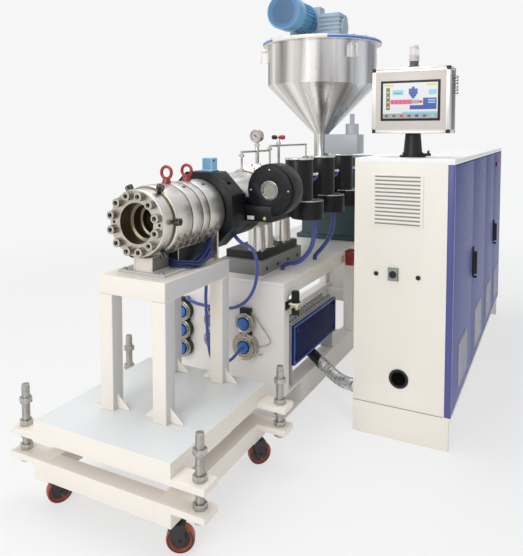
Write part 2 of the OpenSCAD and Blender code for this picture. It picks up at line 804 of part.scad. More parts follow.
module castor_wheel(i) {
    color("firebrick") castor_place(i) translate([trail, 0, wheel_r]) rotate([90, 0, 0])
        rotate_extrude($fn = 64) polygon([[axle_r + run, -wheel_w / 2], [14, -wheel_w / 2], [16, -wheel_w / 2 + 6],
            [wheel_r - 16, -wheel_w / 2 + 6], [wheel_r - 12, -wheel_w / 2], [wheel_r - 4, -wheel_w / 2],
            [wheel_r, -wheel_w / 2 + 5], [wheel_r, wheel_w / 2 - 5], [wheel_r - 4, wheel_w / 2],
            [wheel_r - 12, wheel_w / 2], [wheel_r - 16, wheel_w / 2 - 6], [16, wheel_w / 2 - 6],
            [14, wheel_w / 2], [axle_r + run, wheel_w / 2]]);
}

// Control cabinet
function hinge_at(k) = k == 1 ? bay_a0 + hinge_in : k == 2 ? bay_a1 - hinge_in
    : k == 3 ? bay_b0 + hinge_in : bay_b1 - hinge_in;

module cabinet_plinth() {
    end_t = 30;
    color("linen") difference() {
        union() {
            for (x = [cab_x, cab_x1 - end_t])
                block([x, cab_y0 + door_t / 2, 0], [x + end_t, cab_y1, plinth_h + 1]);
            block([cab_x + end_t - 1, cab_y0 + toe_in, 0], [cab_x1 - end_t + 1, cab_y1, plinth_h + 1]);
            block([cab_x, cab_y0, plinth_h], [cab_x1, cab_y1, plinth_h + floor_t]);
        }
        for (k = [1 : 4])
            bar_z([hinge_at(k), cab_y0 + hinge_in, plinth_h - 1], pin_r + run, floor_t + 2);
    }
}

module vent(w, h, depth) {
    slat_n = floor(h / 18);
    pitch = h / slat_n;
    difference() {
        block([-w / 2, -depth, -h / 2], [w / 2, 0, h / 2]);
        for (i = [0 : slat_n - 1])
            block([-w / 2 + 14, -depth - 1, -h / 2 + i * pitch + 5], [w / 2 - 14, -1, -h / 2 + (i + 1) * pitch - 5]);
    }
}

module cabinet_walls() {
    z0 = plinth_h + floor_t;
    z1 = cab_h - roof_t;
    y0 = cab_y0 + 30;
    y_mid = (cab_y0 + cab_y1) / 2;
    color("linen") {
        difference() {
            union() {
                block([cab_x, y0, z0], [cab_x + wall_t, cab_y1, z1]);
                translate([cab_x, y_mid + 26, 1195]) rotate([0, 0, -90]) vent(vent_w, vent_w, 6);
            }
            bar_x([cab_x - 1, y_mid + 8, 312], port_r + 6, wall_t + 2);
        }
        block([cab_x1 - wall_t, y0, z0], [cab_x1, cab_y1, z1]);
        block([cab_x + wall_t + seat, cab_y1 - wall_t, z0], [cab_x1 - wall_t - seat, cab_y1, z1]);
    }
}

module cabinet_roof() {
    color("white") difference() {
        block([cab_x, cab_y0, cab_h - roof_t], [cab_x1, cab_y1, cab_h]);
        for (k = [1 : 4])
            bar_z([hinge_at(k), cab_y0 + hinge_in, cab_h - roof_t - 1], pin_r + run, 14);
    }
}

module cabinet_posts() {
    z0 = plinth_h + floor_t;
    z1 = cab_h - roof_t;
    color("royalblue") {
        for (x = [cab_x, cab_x1 - corner_w])
            block([x, cab_y0, z0], [x + corner_w, cab_y0 + 30 - seat, z1]);
        block([cab_mid - 25, behind_door, z0], [cab_mid + 25, behind_door + 40, z1]);
    }
}

module end_fittings() {
    y_mid = (cab_y0 + cab_y1) / 2;
    color("black") {
        difference() {
            union() {
                bar_x([cab_x - 4, y_mid + 8, 312], port_r + 12, 4);
                bar_x([cab_x - 1, y_mid + 8, 312], port_r + 6 - seat, wall_t + 1);
            }
            bar_x([cab_x - 6, y_mid + 8, 312], port_r, wall_t + 10);
        }
        block([cab_x - 10, y_mid + 16, 800], [cab_x, y_mid + 66, 863]);
        bar_x([cab_x - 24, y_mid + 41, 832], 16, 15);
        for (y = [y_mid - 80, y_mid + 126]) bar_x([cab_x - 8, y, 827], 11, 8);
    }
}

// Door leaf k between two edges, with its vent and its pins
module door(k, x0, x1) {
    color("royalblue") {
        block([x0, cab_y0, door_z0], [x1, cab_y0 + door_t, door_z1]);
        translate([(x0 + x1) / 2, cab_y0, 351]) vent(door_vent_w, door_vent_h, 6);
        bar_z([hinge_at(k), cab_y0 + hinge_in, plinth_h + 1], pin_r, cab_h - roof_t + 11 - plinth_h);
    }
}
bay_a_seam = (bay_a0 + bay_a1) / 2;
bay_b_seam = (bay_b0 + bay_b1) / 2;
module door_1() { door(1, bay_a0, bay_a_seam - latch_gap / 2); }
module door_2() { door(2, bay_a_seam + latch_gap / 2, bay_a1); }
module door_3() { door(3, bay_b0, bay_b_seam - latch_gap / 2); }
module door_4() { door(4, bay_b_seam + latch_gap / 2, bay_b1); }

// Swing handle with its lock beside the latch edge of a leaf
module door_handle(x) {
    color("black") translate([x, cab_y0, 0]) {
        block([14, -10, 708], [44, 0, 872]);
        block([18, -26, 716], [40, -9, 846]);
        bar_y([70, -14, 745], 12, 14);
        bar_y([66, -22, 690], 7, 22);
    }
}
module door_2_handle() { door_handle(bay_a_seam); }
module door_4_handle() {
    door_handle(bay_b_seam);
    color("darkred") block([bay_b_seam + 120, cab_y0 - 12, 1270], [bay_b_seam + 180, cab_y0, 1300]);
}

// Operator panel on its pedestal
module hmi_pedestal() {
    color("black") translate([hmi_x, hmi_y, cab_h]) {
        cylinder(r = 66, h = 10);
        cylinder(r = 52, h = 24);
        translate([0, 0, 23]) cylinder(r1 = 47, r2 = 38, h = stem_h - 23 - seat);
        cylinder(r = 14, h = stem_h + 24);
        translate([0, -40, 14]) rotate([90, 0, 0]) cylinder(r = 7, h = 50);
        translate([0, -78, 14]) cylinder(r = 6, h = 20);
    }
}

corner = 18;
module hmi_housing() {
    color("gainsboro") translate([hmi_x, hmi_y, hmi_z]) difference() {
        block([-hmi_d / 2, -hmi_w / 2, 0], [hmi_d / 2, hmi_w / 2, hmi_h]);
        for (x = [-1, 1], y = [-1, 1], z = [0, 1])
            translate([x * (hmi_d - corner) / 2, y * (hmi_w - corner) / 2, z * (hmi_h - corner) + corner / 2])
                cube(corner, center = true);
        translate([0, 0, -1]) cylinder(r = 14 + run, h = 27);
    }
}

module hmi_trim() {
    color("black") translate([hmi_x, hmi_y, hmi_z]) {
        for (x = [-1, 1], y = [-1, 1], z = [0, 1])
            translate([x * (hmi_d - corner) / 2, y * (hmi_w - corner) / 2, z * (hmi_h - corner) + corner / 2])
                cube(corner, center = true);
        block([-hmi_d / 2 - 4, -147, 62], [-hmi_d / 2, 147, 262]);
        for (i = [0 : 5])
            block([20, -hmi_w / 2 - 18, 196 + i * 16], [56, -hmi_w / 2, 206 + i * 16]);
    }
}

module beacon() {
    color("lightgray") translate([hmi_x, hmi_y, hmi_z + hmi_h]) {
        cylinder(r = beacon_r + 3, h = 12);
        translate([0, 0, 11]) cylinder(r = beacon_r - 3, h = 26);
        translate([0, 0, 36]) cylinder(r = beacon_r, h = 62);
        translate([0, 0, 97]) cylinder(r1 = beacon_r, r2 = beacon_r - 8, h = 20);
    }
}

base_skids();
base_frame();
base_top();
base_panels();
terminal_box();
terminal_cover();
air_regulator();
stop_box();
heater_sockets();
socket_caps();
barrel_support();
barrel();
heater_cover();
sensor_box();
cooling_blowers();
blower_lids();
pipework();
feed_throat();
hopper_shell();
hopper_lid();
mixer_gearbox();
mixer_motor();
gearbox();
drive_motor();
die_body();
die_screws();
eye_bolts();
die_saddle();
stand();
platform();
jack_screws();
trolley_frame();
castor_fork(0);  // castor_fork_1
castor_fork(1);  // castor_fork_2
castor_fork(2);  // castor_fork_3
castor_fork(3);  // castor_fork_4
castor_wheel(0);  // castor_wheel_1
castor_wheel(1);  // castor_wheel_2
castor_wheel(2);  // castor_wheel_3
castor_wheel(3);  // castor_wheel_4
cabinet_plinth();
cabinet_walls();
cabinet_roof();
cabinet_posts();
end_fittings();
door_1();
door_2();
door_3();
door_4();
door_2_handle();
door_4_handle();
hmi_pedestal();
hmi_housing();
hmi_trim();
beacon();
color("royalblue") hose(front_hose, front_hose_r);
color("royalblue") hose(drop_hose, drop_hose_r);
color("royalblue") hose(zone_hose_1, zone_hose_r);
color("royalblue") hose(zone_hose_2, zone_hose_r);
color("gray") hose(conduit, conduit_r, 12);  // cable_conduit
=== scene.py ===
import bmesh
import bpy
import json
import math
from mathutils import Matrix, Vector

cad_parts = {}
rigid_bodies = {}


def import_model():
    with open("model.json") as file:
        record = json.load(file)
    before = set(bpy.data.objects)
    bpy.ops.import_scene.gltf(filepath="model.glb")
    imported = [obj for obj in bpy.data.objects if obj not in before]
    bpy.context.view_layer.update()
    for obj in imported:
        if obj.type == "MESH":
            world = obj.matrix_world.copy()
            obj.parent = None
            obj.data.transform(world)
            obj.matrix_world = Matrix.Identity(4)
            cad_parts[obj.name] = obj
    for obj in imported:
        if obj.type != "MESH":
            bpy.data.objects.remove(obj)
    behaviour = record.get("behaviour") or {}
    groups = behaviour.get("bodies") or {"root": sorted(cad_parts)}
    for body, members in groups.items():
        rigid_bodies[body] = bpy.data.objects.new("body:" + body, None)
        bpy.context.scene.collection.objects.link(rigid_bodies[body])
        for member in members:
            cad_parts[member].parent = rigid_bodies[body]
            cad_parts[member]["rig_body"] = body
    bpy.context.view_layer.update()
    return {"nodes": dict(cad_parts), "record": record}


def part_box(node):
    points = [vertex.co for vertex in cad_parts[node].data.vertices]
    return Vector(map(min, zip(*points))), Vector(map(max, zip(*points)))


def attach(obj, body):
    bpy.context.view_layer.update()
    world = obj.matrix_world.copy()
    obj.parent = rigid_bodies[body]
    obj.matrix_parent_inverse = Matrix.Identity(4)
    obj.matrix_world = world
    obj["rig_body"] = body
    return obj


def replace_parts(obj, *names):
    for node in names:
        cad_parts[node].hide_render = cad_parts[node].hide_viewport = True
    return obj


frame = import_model()
slot_of = {part["node"]: part["material_slot"] for part in frame["record"]["subparts"]}
scene = bpy.context.scene
scene.view_settings.view_transform = "Standard"


# Studio: a pale floor that runs into a plain pale backdrop, soft lamps from the front and from above,
# and the camera at standing height, in front of the die and to the right of the line.
backdrop = (0.925, 0.925, 0.925, 1)


def wire(tree, kind, inputs, **properties):
    """Adds a node to a tree, sets its properties, and sets or links its inputs."""
    made = tree.nodes.new(kind)
    for key, value in properties.items():
        setattr(made, key, value)
    for key, value in inputs.items():
        if isinstance(value, bpy.types.NodeSocket):
            tree.links.new(value, made.inputs[key])
        else:
            made.inputs[key].default_value = value
    return made


def calc(tree, operation, *values):
    """Adds a Math node and returns its output."""
    return wire(tree, "ShaderNodeMath", dict(enumerate(values)), operation=operation).outputs[0]


def span(tree, value, low=0.0, high=1.0, start=0.0, stop=1.0, curve="LINEAR"):
    """Adds a Map Range node, from start and stop to low and high, and returns its output."""
    ends = {"Value": value, "From Min": start, "From Max": stop, "To Min": low, "To Max": high}
    return wire(tree, "ShaderNodeMapRange", ends, interpolation_type=curve).outputs[0]


def object_place(tree):
    """The Object coordinates of the surface."""
    return wire(tree, "ShaderNodeTexCoord", {}).outputs["Object"]


def new_material(name):
    """A material with an empty Principled shader: returns it with its tree and shader."""
    material = bpy.data.materials.new(name)
    material.use_nodes = True
    tree = material.node_tree
    return material, tree, tree.nodes["Principled BSDF"]


def studio_floor():
    middle, radius = (0.5, -0.3, 0.0), 60.0
    near, far, near_share = 1.6, 6.5, 0.66
    material, tree, shader = new_material("studio_floor")
    shader.inputs["Base Color"].default_value = (0.86, 0.86, 0.86, 1)
    shader.inputs["Roughness"].default_value = 0.9
    shader.inputs["Specular IOR Level"].default_value = 0.1
    offset = wire(tree, "ShaderNodeVectorMath", {0: object_place(tree), 1: middle}, operation="SUBTRACT")
    reach = wire(tree, "ShaderNodeVectorMath", {0: offset.outputs[0]}, operation="LENGTH").outputs["Value"]
    fade = span(tree, reach, near_share, 1.0, near, far, "SMOOTHSTEP")
    ray = wire(tree, "ShaderNodeLightPath", {}).outputs
    shown = calc(tree, "MAXIMUM", ray["Is Camera Ray"], ray["Is Glossy Ray"])
    seen = calc(tree, "MAXIMUM", shown, ray["Is Transmission Ray"])
    share = calc(tree, "MULTIPLY", fade, seen)
    pale = wire(tree, "ShaderNodeEmission", {"Color": backdrop, "Strength": 1.0})
    mixed = wire(tree, "ShaderNodeMixShader", {0: share, 1: shader.outputs[0], 2: pale.outputs[0]})
    tree.links.new(mixed.outputs[0], tree.nodes["Material Output"].inputs["Surface"])
    mesh = bpy.data.meshes.new("studio_floor")
    bm = bmesh.new()
    bmesh.ops.create_circle(bm, cap_ends=True, segments=64, radius=radius)
    bm.to_mesh(mesh)
    bm.free()
    mesh.materials.append(material)
    floor = bpy.data.objects.new("studio_floor", mesh)
    scene.collection.objects.link(floor)


def studio_world():
    ambient = (0.62, 0.63, 0.65, 1)
    band_n, band_start, band_low, band_high = 5.0, 1.1, 0.3, 1.0
    climb_from, climb_to, sky = 0.15, 0.75, 0.95
    world = bpy.data.worlds.new("studio_world")
    scene.world = world
    world.use_nodes = True
    tree = world.node_tree
    tree.nodes.clear()
    ray = wire(tree, "ShaderNodeLightPath", {}).outputs
    seen = calc(tree, "MAXIMUM", ray["Is Camera Ray"], ray["Is Transmission Ray"])
    place = wire(tree, "ShaderNodeTexCoord", {}).outputs["Generated"]
    parts = wire(tree, "ShaderNodeSeparateXYZ", {0: place}).outputs
    around = calc(tree, "ARCTAN2", parts["Y"], parts["X"])
    wave = calc(tree, "SINE", calc(tree, "MULTIPLY_ADD", around, band_n, band_start))
    band = span(tree, wave, band_low, band_high, -1.0, 1.0)
    climb = span(tree, parts["Z"], start=climb_from, stop=climb_to)
    rise = wire(tree, "ShaderNodeMix", {0: climb, 2: band, 3: sky}).outputs[0]
    mirror, fill, plain = (
        wire(tree, "ShaderNodeBackground", {"Color": tone, "Strength": strength}).outputs[0]
        for tone, strength in ((rise, 0.9), (ambient, 1.0), (backdrop, 1.0)))
    lit = wire(tree, "ShaderNodeMixShader", {0: ray["Is Glossy Ray"], 1: fill, 2: mirror}).outputs[0]
    shown = wire(tree, "ShaderNodeMixShader", {0: seen, 1: lit, 2: plain}).outputs[0]
    wire(tree, "ShaderNodeOutputWorld", {"Surface": shown})


def studio_lamp(name, place, target, size, watts):
    lamp = bpy.data.lights.new(name, "AREA")
    lamp.shape = "RECTANGLE"
    lamp.size, lamp.size_y = size
    lamp.energy = watts
    holder = bpy.data.objects.new(name, lamp)
    holder.location = place
    holder.rotation_euler = (Vector(target) - Vector(place)).to_track_quat("-Z", "Y").to_euler()
    scene.collection.objects.link(holder)


def photo_camera():
    photo_h, focal_px, axis_row = 556, 580.27, 167
    yaw, pitch = 0.47368, 0.05845
    lens = bpy.data.cameras.new("photo_camera")
    lens.sensor_width = 36
    lens.lens = focal_px / photo_h * lens.sensor_width
    lens.shift_y = (axis_row - photo_h / 2) / photo_h
    camera = bpy.data.objects.new("photo_camera", lens)
    camera.location = (-2.7648, -1.5156, 1.5230)
    ahead = Vector((math.cos(yaw) * math.cos(pitch), math.sin(yaw) * math.cos(pitch), -math.sin(pitch)))
    camera.rotation_euler = ahead.to_track_quat("-Z", "Y").to_euler()
    scene.collection.objects.link(camera)
    scene.camera = camera


studio_floor()
studio_world()
studio_lamp("key_lamp", (-5.9, 0.2, 3.4), (0.2, -0.3, 0.8), (3.2, 2.6), 128)
studio_lamp("top_lamp", (0.2, 0.6, 5.4), (0.2, 0.0, 0.8), (4.0, 2.4), 115)
photo_camera()


# Machine base: a welded frame of square tube and channel skids under a thick top plate, closed by
# sheet panels at its two ends. It is sprayed white all over, and its edges are slightly rounded.
crease_deg = 32


def noise(tree, place, scale, detail):
    """Adds a noise texture and returns its value."""
    inputs = {"Vector": place, "Scale": scale, "Detail": detail}
    return wire(tree, "ShaderNodeTexNoise", inputs).outputs["Fac"]


def blend(tree, share, first, second):
    """Adds a mix of two colours and returns its output."""
    return wire(tree, "ShaderNodeMixRGB", {"Fac": share, "Color1": first, "Color2": second}).outputs[0]


def set_finish(tree, shader, tone, shine, relief):
    """Links a colour, a roughness (marks, lowest, highest) and a bump (marks, strength, depth)."""
    marks, strength, depth = relief
    bump = wire(tree, "ShaderNodeBump", {"Height": marks, "Strength": strength, "Distance": depth})
    rough = span(tree, *shine)
    for socket, value in (("Base Color", tone), ("Roughness", rough), ("Normal", bump.outputs[0])):
        tree.links.new(value, shader.inputs[socket])


def paint(name, colour, rough=0.4, mottle=0.05, coat=0.0, gloss=0.5, foot=None):
    """Sprayed paint: faint clouding in its colour and gloss, and an orange-peel bump.
    foot is (colour near the floor, height at which the main colour is full): a painted reflection of light
    from the floor, which lightens the paint towards the floor."""
    material, tree, shader = new_material(name)
    place = object_place(tree)
    low = tuple(c * (1 - mottle * 1.4) for c in colour) + (1,)
    high = tuple(min(1, c * (1 + mottle)) for c in colour) + (1,)
    tone = blend(tree, noise(tree, place, 2.6, 4.0), low, high)
    # Painted reflection of the floor's light: the colour turns to the foot colour towards the floor.
    if foot:
        height = wire(tree, "ShaderNodeSeparateXYZ", {0: place}).outputs["Z"]
        tone = blend(tree, span(tree, height, stop=foot[1]), foot[0] + (1,), tone)
    fleck, skin = noise(tree, place, 23.0, 5.0), noise(tree, place, 700.0, 2.0)
    set_finish(tree, shader, tone, (fleck, rough - 0.08, rough + 0.1), (skin, 0.03, 0.0006))
    shader.inputs["Specular IOR Level"].default_value = gloss
    shader.inputs["Coat Weight"].default_value = coat
    shader.inputs["Coat Roughness"].default_value = 0.12
    return material


def finish_mesh(name, bm, materials, slot, body="machine", crease=crease_deg):
    """Turns a bmesh into a piece: smooth but for its creases, riding on a body.
    slot is not used."""
    mesh = bpy.data.meshes.new(name)
    bm.to_mesh(mesh)
    bm.free()
    for material in materials:
        mesh.materials.append(material)
    mesh.polygons.foreach_set("use_smooth", [True] * len(mesh.polygons))
    mesh.set_sharp_from_angle(angle=math.radians(crease))
    piece = bpy.data.objects.new(name, mesh)
    scene.collection.objects.link(piece)
    slot = slot_of.get(slot, slot)
    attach(piece, body)
    return piece


def dressed(node, materials, edge=0.002, pick=None):
    """Stands for a CAD node: the same solid with its sharp edges rounded and its finishes on.
    pick(centre, normal) gives the number of the finish for a face."""
    weld, flat, sharp_from = 0.00002, math.radians(0.4), math.radians(crease_deg)
    bm = bmesh.new()
    bm.from_mesh(frame["nodes"][node].data)
    bmesh.ops.remove_doubles(bm, verts=bm.verts, dist=weld)
    bmesh.ops.dissolve_limit(bm, angle_limit=flat, verts=bm.verts, edges=bm.edges)
    for face in bm.faces:
        face.material_index = pick(face.calc_center_median(), face.normal) if pick else 0
    sharp = [e for e in bm.edges if len(e.link_faces) == 2 and e.calc_face_angle() > sharp_from]
    bmesh.ops.bevel(bm, geom=sharp, offset=edge, segments=2, profile=0.6, affect="EDGES",
                    clamp_overlap=True)
    body = frame["nodes"][node]["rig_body"]
    piece = finish_mesh(node + "_finish", bm, materials, node, body)
    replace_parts(piece, node)


def add_box(bm, low, high, edge=0.0, index=0):
    """Adds a box between two corners, with its edges rounded by that much."""
    low, high = Vector(low), Vector(high)
    made = bmesh.ops.create_cube(bm, size=1.0)["verts"]
    for v in made:
        v.co = Vector((low[k] + (v.co[k] + 0.5) * (high[k] - low[k]) for k in range(3)))
    faces = {f for v in made for f in v.link_faces}
    for face in faces:
        face.material_index = index
    if edge:
        edges = {e for v in made for e in v.link_edges}
        bmesh.ops.bevel(bm, geom=list(edges), offset=edge, segments=2, profile=0.5, affect="EDGES",
                        clamp_overlap=True, material=index)


base_white = paint("base_white", (0.93, 0.90, 0.86), rough=0.36, mottle=0.03)
for node in ("base_skids", "base_frame", "base_top", "base_panels"):
    dressed(node, [base_white], edge=0.003)


def rail_plate():
    """A bare plate riveted to the top rail beside the stop box."""
    face_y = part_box("base_frame")[0].y
    rail_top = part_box("base_top")[0].z
    stop_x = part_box("stop_box")[0].x
    left, right, foot, top = stop_x - 0.075, stop_x - 0.025, rail_top - 0.052, rail_top - 0.008
    plate = paint("rail_plate", (0.62, 0.60, 0.24), rough=0.35, mottle=0.12)
    bm = bmesh.new()
    add_box(bm, (left, face_y - 0.0015, foot), (right, face_y, top), 0.0004)
    finish_mesh("rail_plate", bm, [plate], "white_paint")


rail_plate()


# Terminal box: a grey steel box on two side plates, with rows of cable glands along its top and a
# navy cover with a bright blue folded rim, held by black corner knobs.
def studs(name, places, facing, sides, radius, height, material, slot):
    """Geometry Nodes piece: a prism of so many sides on every place, standing along its facing."""
    tree = bpy.data.node_groups.new(name, "GeometryNodeTree")
    face = tree.interface
    face.new_socket("Geometry", in_out="INPUT", socket_type="NodeSocketGeometry")
    settings = (("Sides", "NodeSocketInt", sides), ("Radius", "NodeSocketFloat", radius),
                ("Height", "NodeSocketFloat", height), ("Finish", "NodeSocketMaterial", material))
    values = {}
    for label, kind, value in settings:
        values[face.new_socket(label, in_out="INPUT", socket_type=kind).identifier] = value
    face.new_socket("Geometry", in_out="OUTPUT", socket_type="NodeSocketGeometry")
    start = tree.nodes.new("NodeGroupInput").outputs
    prism = wire(tree, "GeometryNodeMeshCylinder", {"Vertices": start["Sides"], "Radius": start["Radius"],
                                                    "Depth": start["Height"]})
    lift = wire(tree, "ShaderNodeCombineXYZ", {"Z": calc(tree, "MULTIPLY", start["Height"], 0.5)})
    seated = wire(tree, "GeometryNodeTransform", {"Geometry": prism.outputs["Mesh"],
                                                  "Translation": lift.outputs[0]})
    aim = wire(tree, "GeometryNodeInputNamedAttribute", {"Name": "facing"}, data_type="FLOAT_VECTOR")
    turn = wire(tree, "FunctionNodeAlignRotationToVector", {"Vector": aim.outputs["Attribute"]}, axis="Z")
    placed = wire(tree, "GeometryNodeInstanceOnPoints", {"Points": start["Geometry"],
                                                         "Instance": seated.outputs["Geometry"],
                                                         "Rotation": turn.outputs["Rotation"]})
    real = wire(tree, "GeometryNodeRealizeInstances", {"Geometry": placed.outputs["Instances"]})
    done = wire(tree, "GeometryNodeSetMaterial", {"Geometry": real.outputs["Geometry"],
                                                  "Material": start["Finish"]})
    wire(tree, "NodeGroupOutput", {"Geometry": done.outputs["Geometry"]})
    mesh = bpy.data.meshes.new(name)
    mesh.from_pydata([tuple(p) for p in places], [], [])
    aims = [facing] * len(places) if isinstance(facing, tuple) else facing
    stored = mesh.attributes.new("facing", "FLOAT_VECTOR", "POINT")
    stored.data.foreach_set("vector", [c for v in aims for c in v])
    piece = bpy.data.objects.new(name, mesh)
    scene.collection.objects.link(piece)
    modifier = piece.modifiers.new("studs", "NODES")
    modifier.node_group = tree
    for key, value in values.items():
        modifier[key] = value
    evaluated = piece.evaluated_get(bpy.context.evaluated_depsgraph_get())
    plain = bpy.data.meshes.new_from_object(evaluated)
    piece.modifiers.clear()
    piece.data = plain
    slot = slot_of.get(slot, slot)
    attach(piece, "machine")


def lid_corners(low, high, y, inset):
    """Places beside the four corners of a lid that faces the front."""
    return [(x, y, z) for x in (low.x + inset, high.x - inset) for z in (low.z + inset, high.z - inset)]


def terminal_box():
    low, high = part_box("terminal_cover")
    rim, rim_out = 0.010, 0.0025
    box_grey = paint("terminal_grey", (0.55, 0.56, 0.55), mottle=0.08)
    navy = paint("terminal_navy", (0.018, 0.025, 0.10), rough=0.6, mottle=0.08, gloss=0.1)
    rim_blue = paint("terminal_rim", (0.03, 0.12, 0.50), rough=0.3)
    knob_black = paint("terminal_knob", (0.012, 0.012, 0.013))
    dressed("terminal_box", [box_grey], edge=0.0015)
    dressed("terminal_cover", [navy], edge=0.004)
    bm = bmesh.new()
    y, back = low.y - rim_out, low.y + 0.004
    add_box(bm, (low.x, y, low.z), (low.x + rim, back, high.z), 0.001)
    add_box(bm, (high.x - rim, y, low.z), (high.x, back, high.z), 0.001)
    add_box(bm, (low.x + rim, y, high.z - rim), (high.x - rim, back, high.z), 0.001)
    add_box(bm, (low.x + rim, y, low.z), (high.x - rim, back, low.z + rim), 0.001)
    finish_mesh("terminal_rim", bm, [rim_blue], "navy_paint")
    knobs = lid_corners(low, high, low.y, 0.03)
    studs("terminal_knobs", knobs, (0, -1, 0), 14, 0.011, 0.009, knob_black, "navy_paint")
    body_low, body_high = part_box("terminal_box")
    gland_n, rows, gland_h = 16, 2, 0.018
    step = (body_high.x - body_low.x) / gland_n
    depth = body_high.y - high.y
    places = [(body_low.x + (i + 0.5) * step, high.y + (r + 0.5) * 0.5 * depth, body_high.z)
              for i in range(gland_n) for r in range(rows)]
    lower = [(x, y, z - gland_h) for x, y, z in places]
    studs("terminal_gland_nuts", lower, (0, 0, 1), 6, 0.0135, 0.009, box_grey, "grey_box")
    studs("terminal_gland_seals", places, (0, 0, 1), 12, 0.0062, 0.004, knob_black, "grey_box")


terminal_box()


# Air regulator: a black plastic regulator with a round knob, a brass body and a white bracket,
# clamped to the front right post of the base.
def spokes(count, start=0.0):
    """The cosine and sine of so many equal steps round a circle, moved on by a part of a step."""
    turns = [2 * math.pi * (k + start) / count for k in range(count)]
    return [(math.cos(t), math.sin(t)) for t in turns]


def add_round(bm, start, end, r0, r1=None, sides=32, index=0):
    """Adds a round bar or cone between two points."""
    start, end = Vector(start), Vector(end)
    r1 = r0 if r1 is None else r1
    turn = (end - start).to_track_quat("Z", "Y").to_matrix().to_4x4()
    place = Matrix.Translation((start + end) / 2) @ turn
    made = bmesh.ops.create_cone(bm, cap_ends=True, segments=sides, radius1=r0, radius2=r1,
                                 depth=(end - start).length, matrix=place)
    for face in {f for v in made["verts"] for f in v.link_faces}:
        face.material_index = index


def steel(name, colour, rough=0.3, stretch=(1, 1, 1), wear_and_sheen=0.15, scale=60.0):
    """Bare metal: fine marks drawn out along one direction, in its colour, gloss and bump."""
    material, tree, shader = new_material(name)
    shader.inputs["Metallic"].default_value = 1.0
    drawn = wire(tree, "ShaderNodeMapping", {"Vector": object_place(tree), "Scale": stretch}).outputs[0]
    marks = noise(tree, drawn, scale, 5.0)
    low = tuple(c * (1 - wear_and_sheen) for c in colour) + (1,)
    high = tuple(min(1, c * (1 + wear_and_sheen * 0.6)) for c in colour) + (1,)
    tone = blend(tree, marks, low, high)
    set_finish(tree, shader, tone, (marks, rough - 0.1, rough + 0.12), (marks, 0.06, 0.0005))
    return material


black_plastic = paint("black_plastic", (0.013, 0.013, 0.015), rough=0.42, mottle=0.2, gloss=0.35)
zinc = steel("zinc_plate", (0.54, 0.52, 0.49), wear_and_sheen=0.45, scale=90)


def air_regulator():
    low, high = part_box("air_regulator")
    x, y, port_z, bracket_z = (low.x + high.x) / 2 + 0.0055, low.y + 0.027, low.z + 0.044, high.z - 0.066
    half, half_h, port, port_r, bracket_t = 0.024, 0.014, 0.026, 0.015, 0.006
    brass = steel("regulator_brass", (0.85, 0.74, 0.50))
    dressed("air_regulator", [black_plastic], edge=0.002)
    bm = bmesh.new()
    add_box(bm, (x - half, y - half, port_z - half_h), (x + half, y + half, port_z + half_h), 0.004, 0)
    add_round(bm, (x - port, y, port_z), (x + port, y, port_z), port_r, sides=24)
    add_box(bm, (x - 0.040, y - 0.030, bracket_z), (x + 0.032, y + 0.022, bracket_z + bracket_t), 0.001, 1)
    finish_mesh("regulator_body", bm, [brass, base_white], "black_plastic")
    flute_n, flute_r, knob_z = 20, 0.019, high.z - 0.050
    places = [(x + flute_r * c, y + flute_r * s, knob_z) for c, s in spokes(flute_n)]
    studs("regulator_flutes", places, (0, 0, 1), 8, 0.0026, 0.046, black_plastic, "black_plastic")


air_regulator()


# Stop box: a red painted switch box with a mushroom push button, screwed under the base's edge.
# Its lid is held by four plated screws.
def stop_box():
    low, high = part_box("stop_box")
    red = paint("stop_red", (0.30, 0.020, 0.022), rough=0.35, mottle=0.08, coat=0.3)
    dressed("stop_box", [red], edge=0.003)
    screws = lid_corners(low, high, low.y + 0.020, 0.010)
    studs("stop_screws", screws, (0, -1, 0), 10, 0.004, 0.002, zinc, "red_paint")


stop_box()


# Heater sockets: coiled stainless collars on the front panel, each with a blue moulded plug cap
# and a black hinge block above it, and a bent wire bail that locks the pair on the right.
def add_turned(bm, centre, axis, profile, sides=40, index=0, closed=False):
    """Adds a turned shape: profile points are (distance along the axis, radius)."""
    axis = Vector(axis).normalized()
    u = axis.orthogonal().normalized()
    v = axis.cross(u)
    rings = []
    for h, r in profile:
        base = Vector(centre) + axis * h
        if r < 1e-6:
            rings.append([bm.verts.new(base)])
        else:
            rings.append([bm.verts.new(base + r * (c * u + s * v)) for c, s in spokes(sides)])
    pairs = list(zip(rings, rings[1:]))
    if closed:
        pairs.append((rings[-1], rings[0]))
    made = []
    for a, b in pairs:
        for k in range(sides):
            n = (k + 1) % sides
            if len(a) == 1:
                corners = [a[0], b[n], b[k]]
            elif len(b) == 1:
                corners = [a[k], a[n], b[0]]
            else:
                corners = [a[k], a[n], b[n], b[k]]
            made.append(bm.faces.new(corners))
    for face in made:
        face.material_index = index
    bmesh.ops.recalc_face_normals(bm, faces=made)


def add_torus(bm, centre, axis, ring, bar, sides=40, bar_sides=10, index=0):
    """Adds a ring of round bar about an axis."""
    profile = [(bar * s, ring + bar * c) for c, s in spokes(bar_sides)]
    add_turned(bm, centre, axis, profile, sides, index, closed=True)


def add_tube(bm, line, radius, sides=10, index=0):
    """Adds a closed tube along a line of points; radius is one value or one for each point."""
    line = [Vector(p) for p in line]
    radii = radius if isinstance(radius, list) else [radius] * len(line)
    across = (line[1] - line[0]).orthogonal().normalized()
    rings = []
    for i, point in enumerate(line):
        along = (line[min(i + 1, len(line) - 1)] - line[max(i - 1, 0)]).normalized()
        across = (across - across.dot(along) * along).normalized()
        other = along.cross(across)
        rings.append([bm.verts.new(point + radii[i] * (c * across + s * other)) for c, s in spokes(sides)])
    made = [bm.faces.new(rings[0][::-1]), bm.faces.new(rings[-1])]
    for a, b in zip(rings, rings[1:]):
        made += [bm.faces.new((a[k], a[(k + 1) % sides], b[(k + 1) % sides], b[k])) for k in range(sides)]
    for face in made:
        face.material_index = index


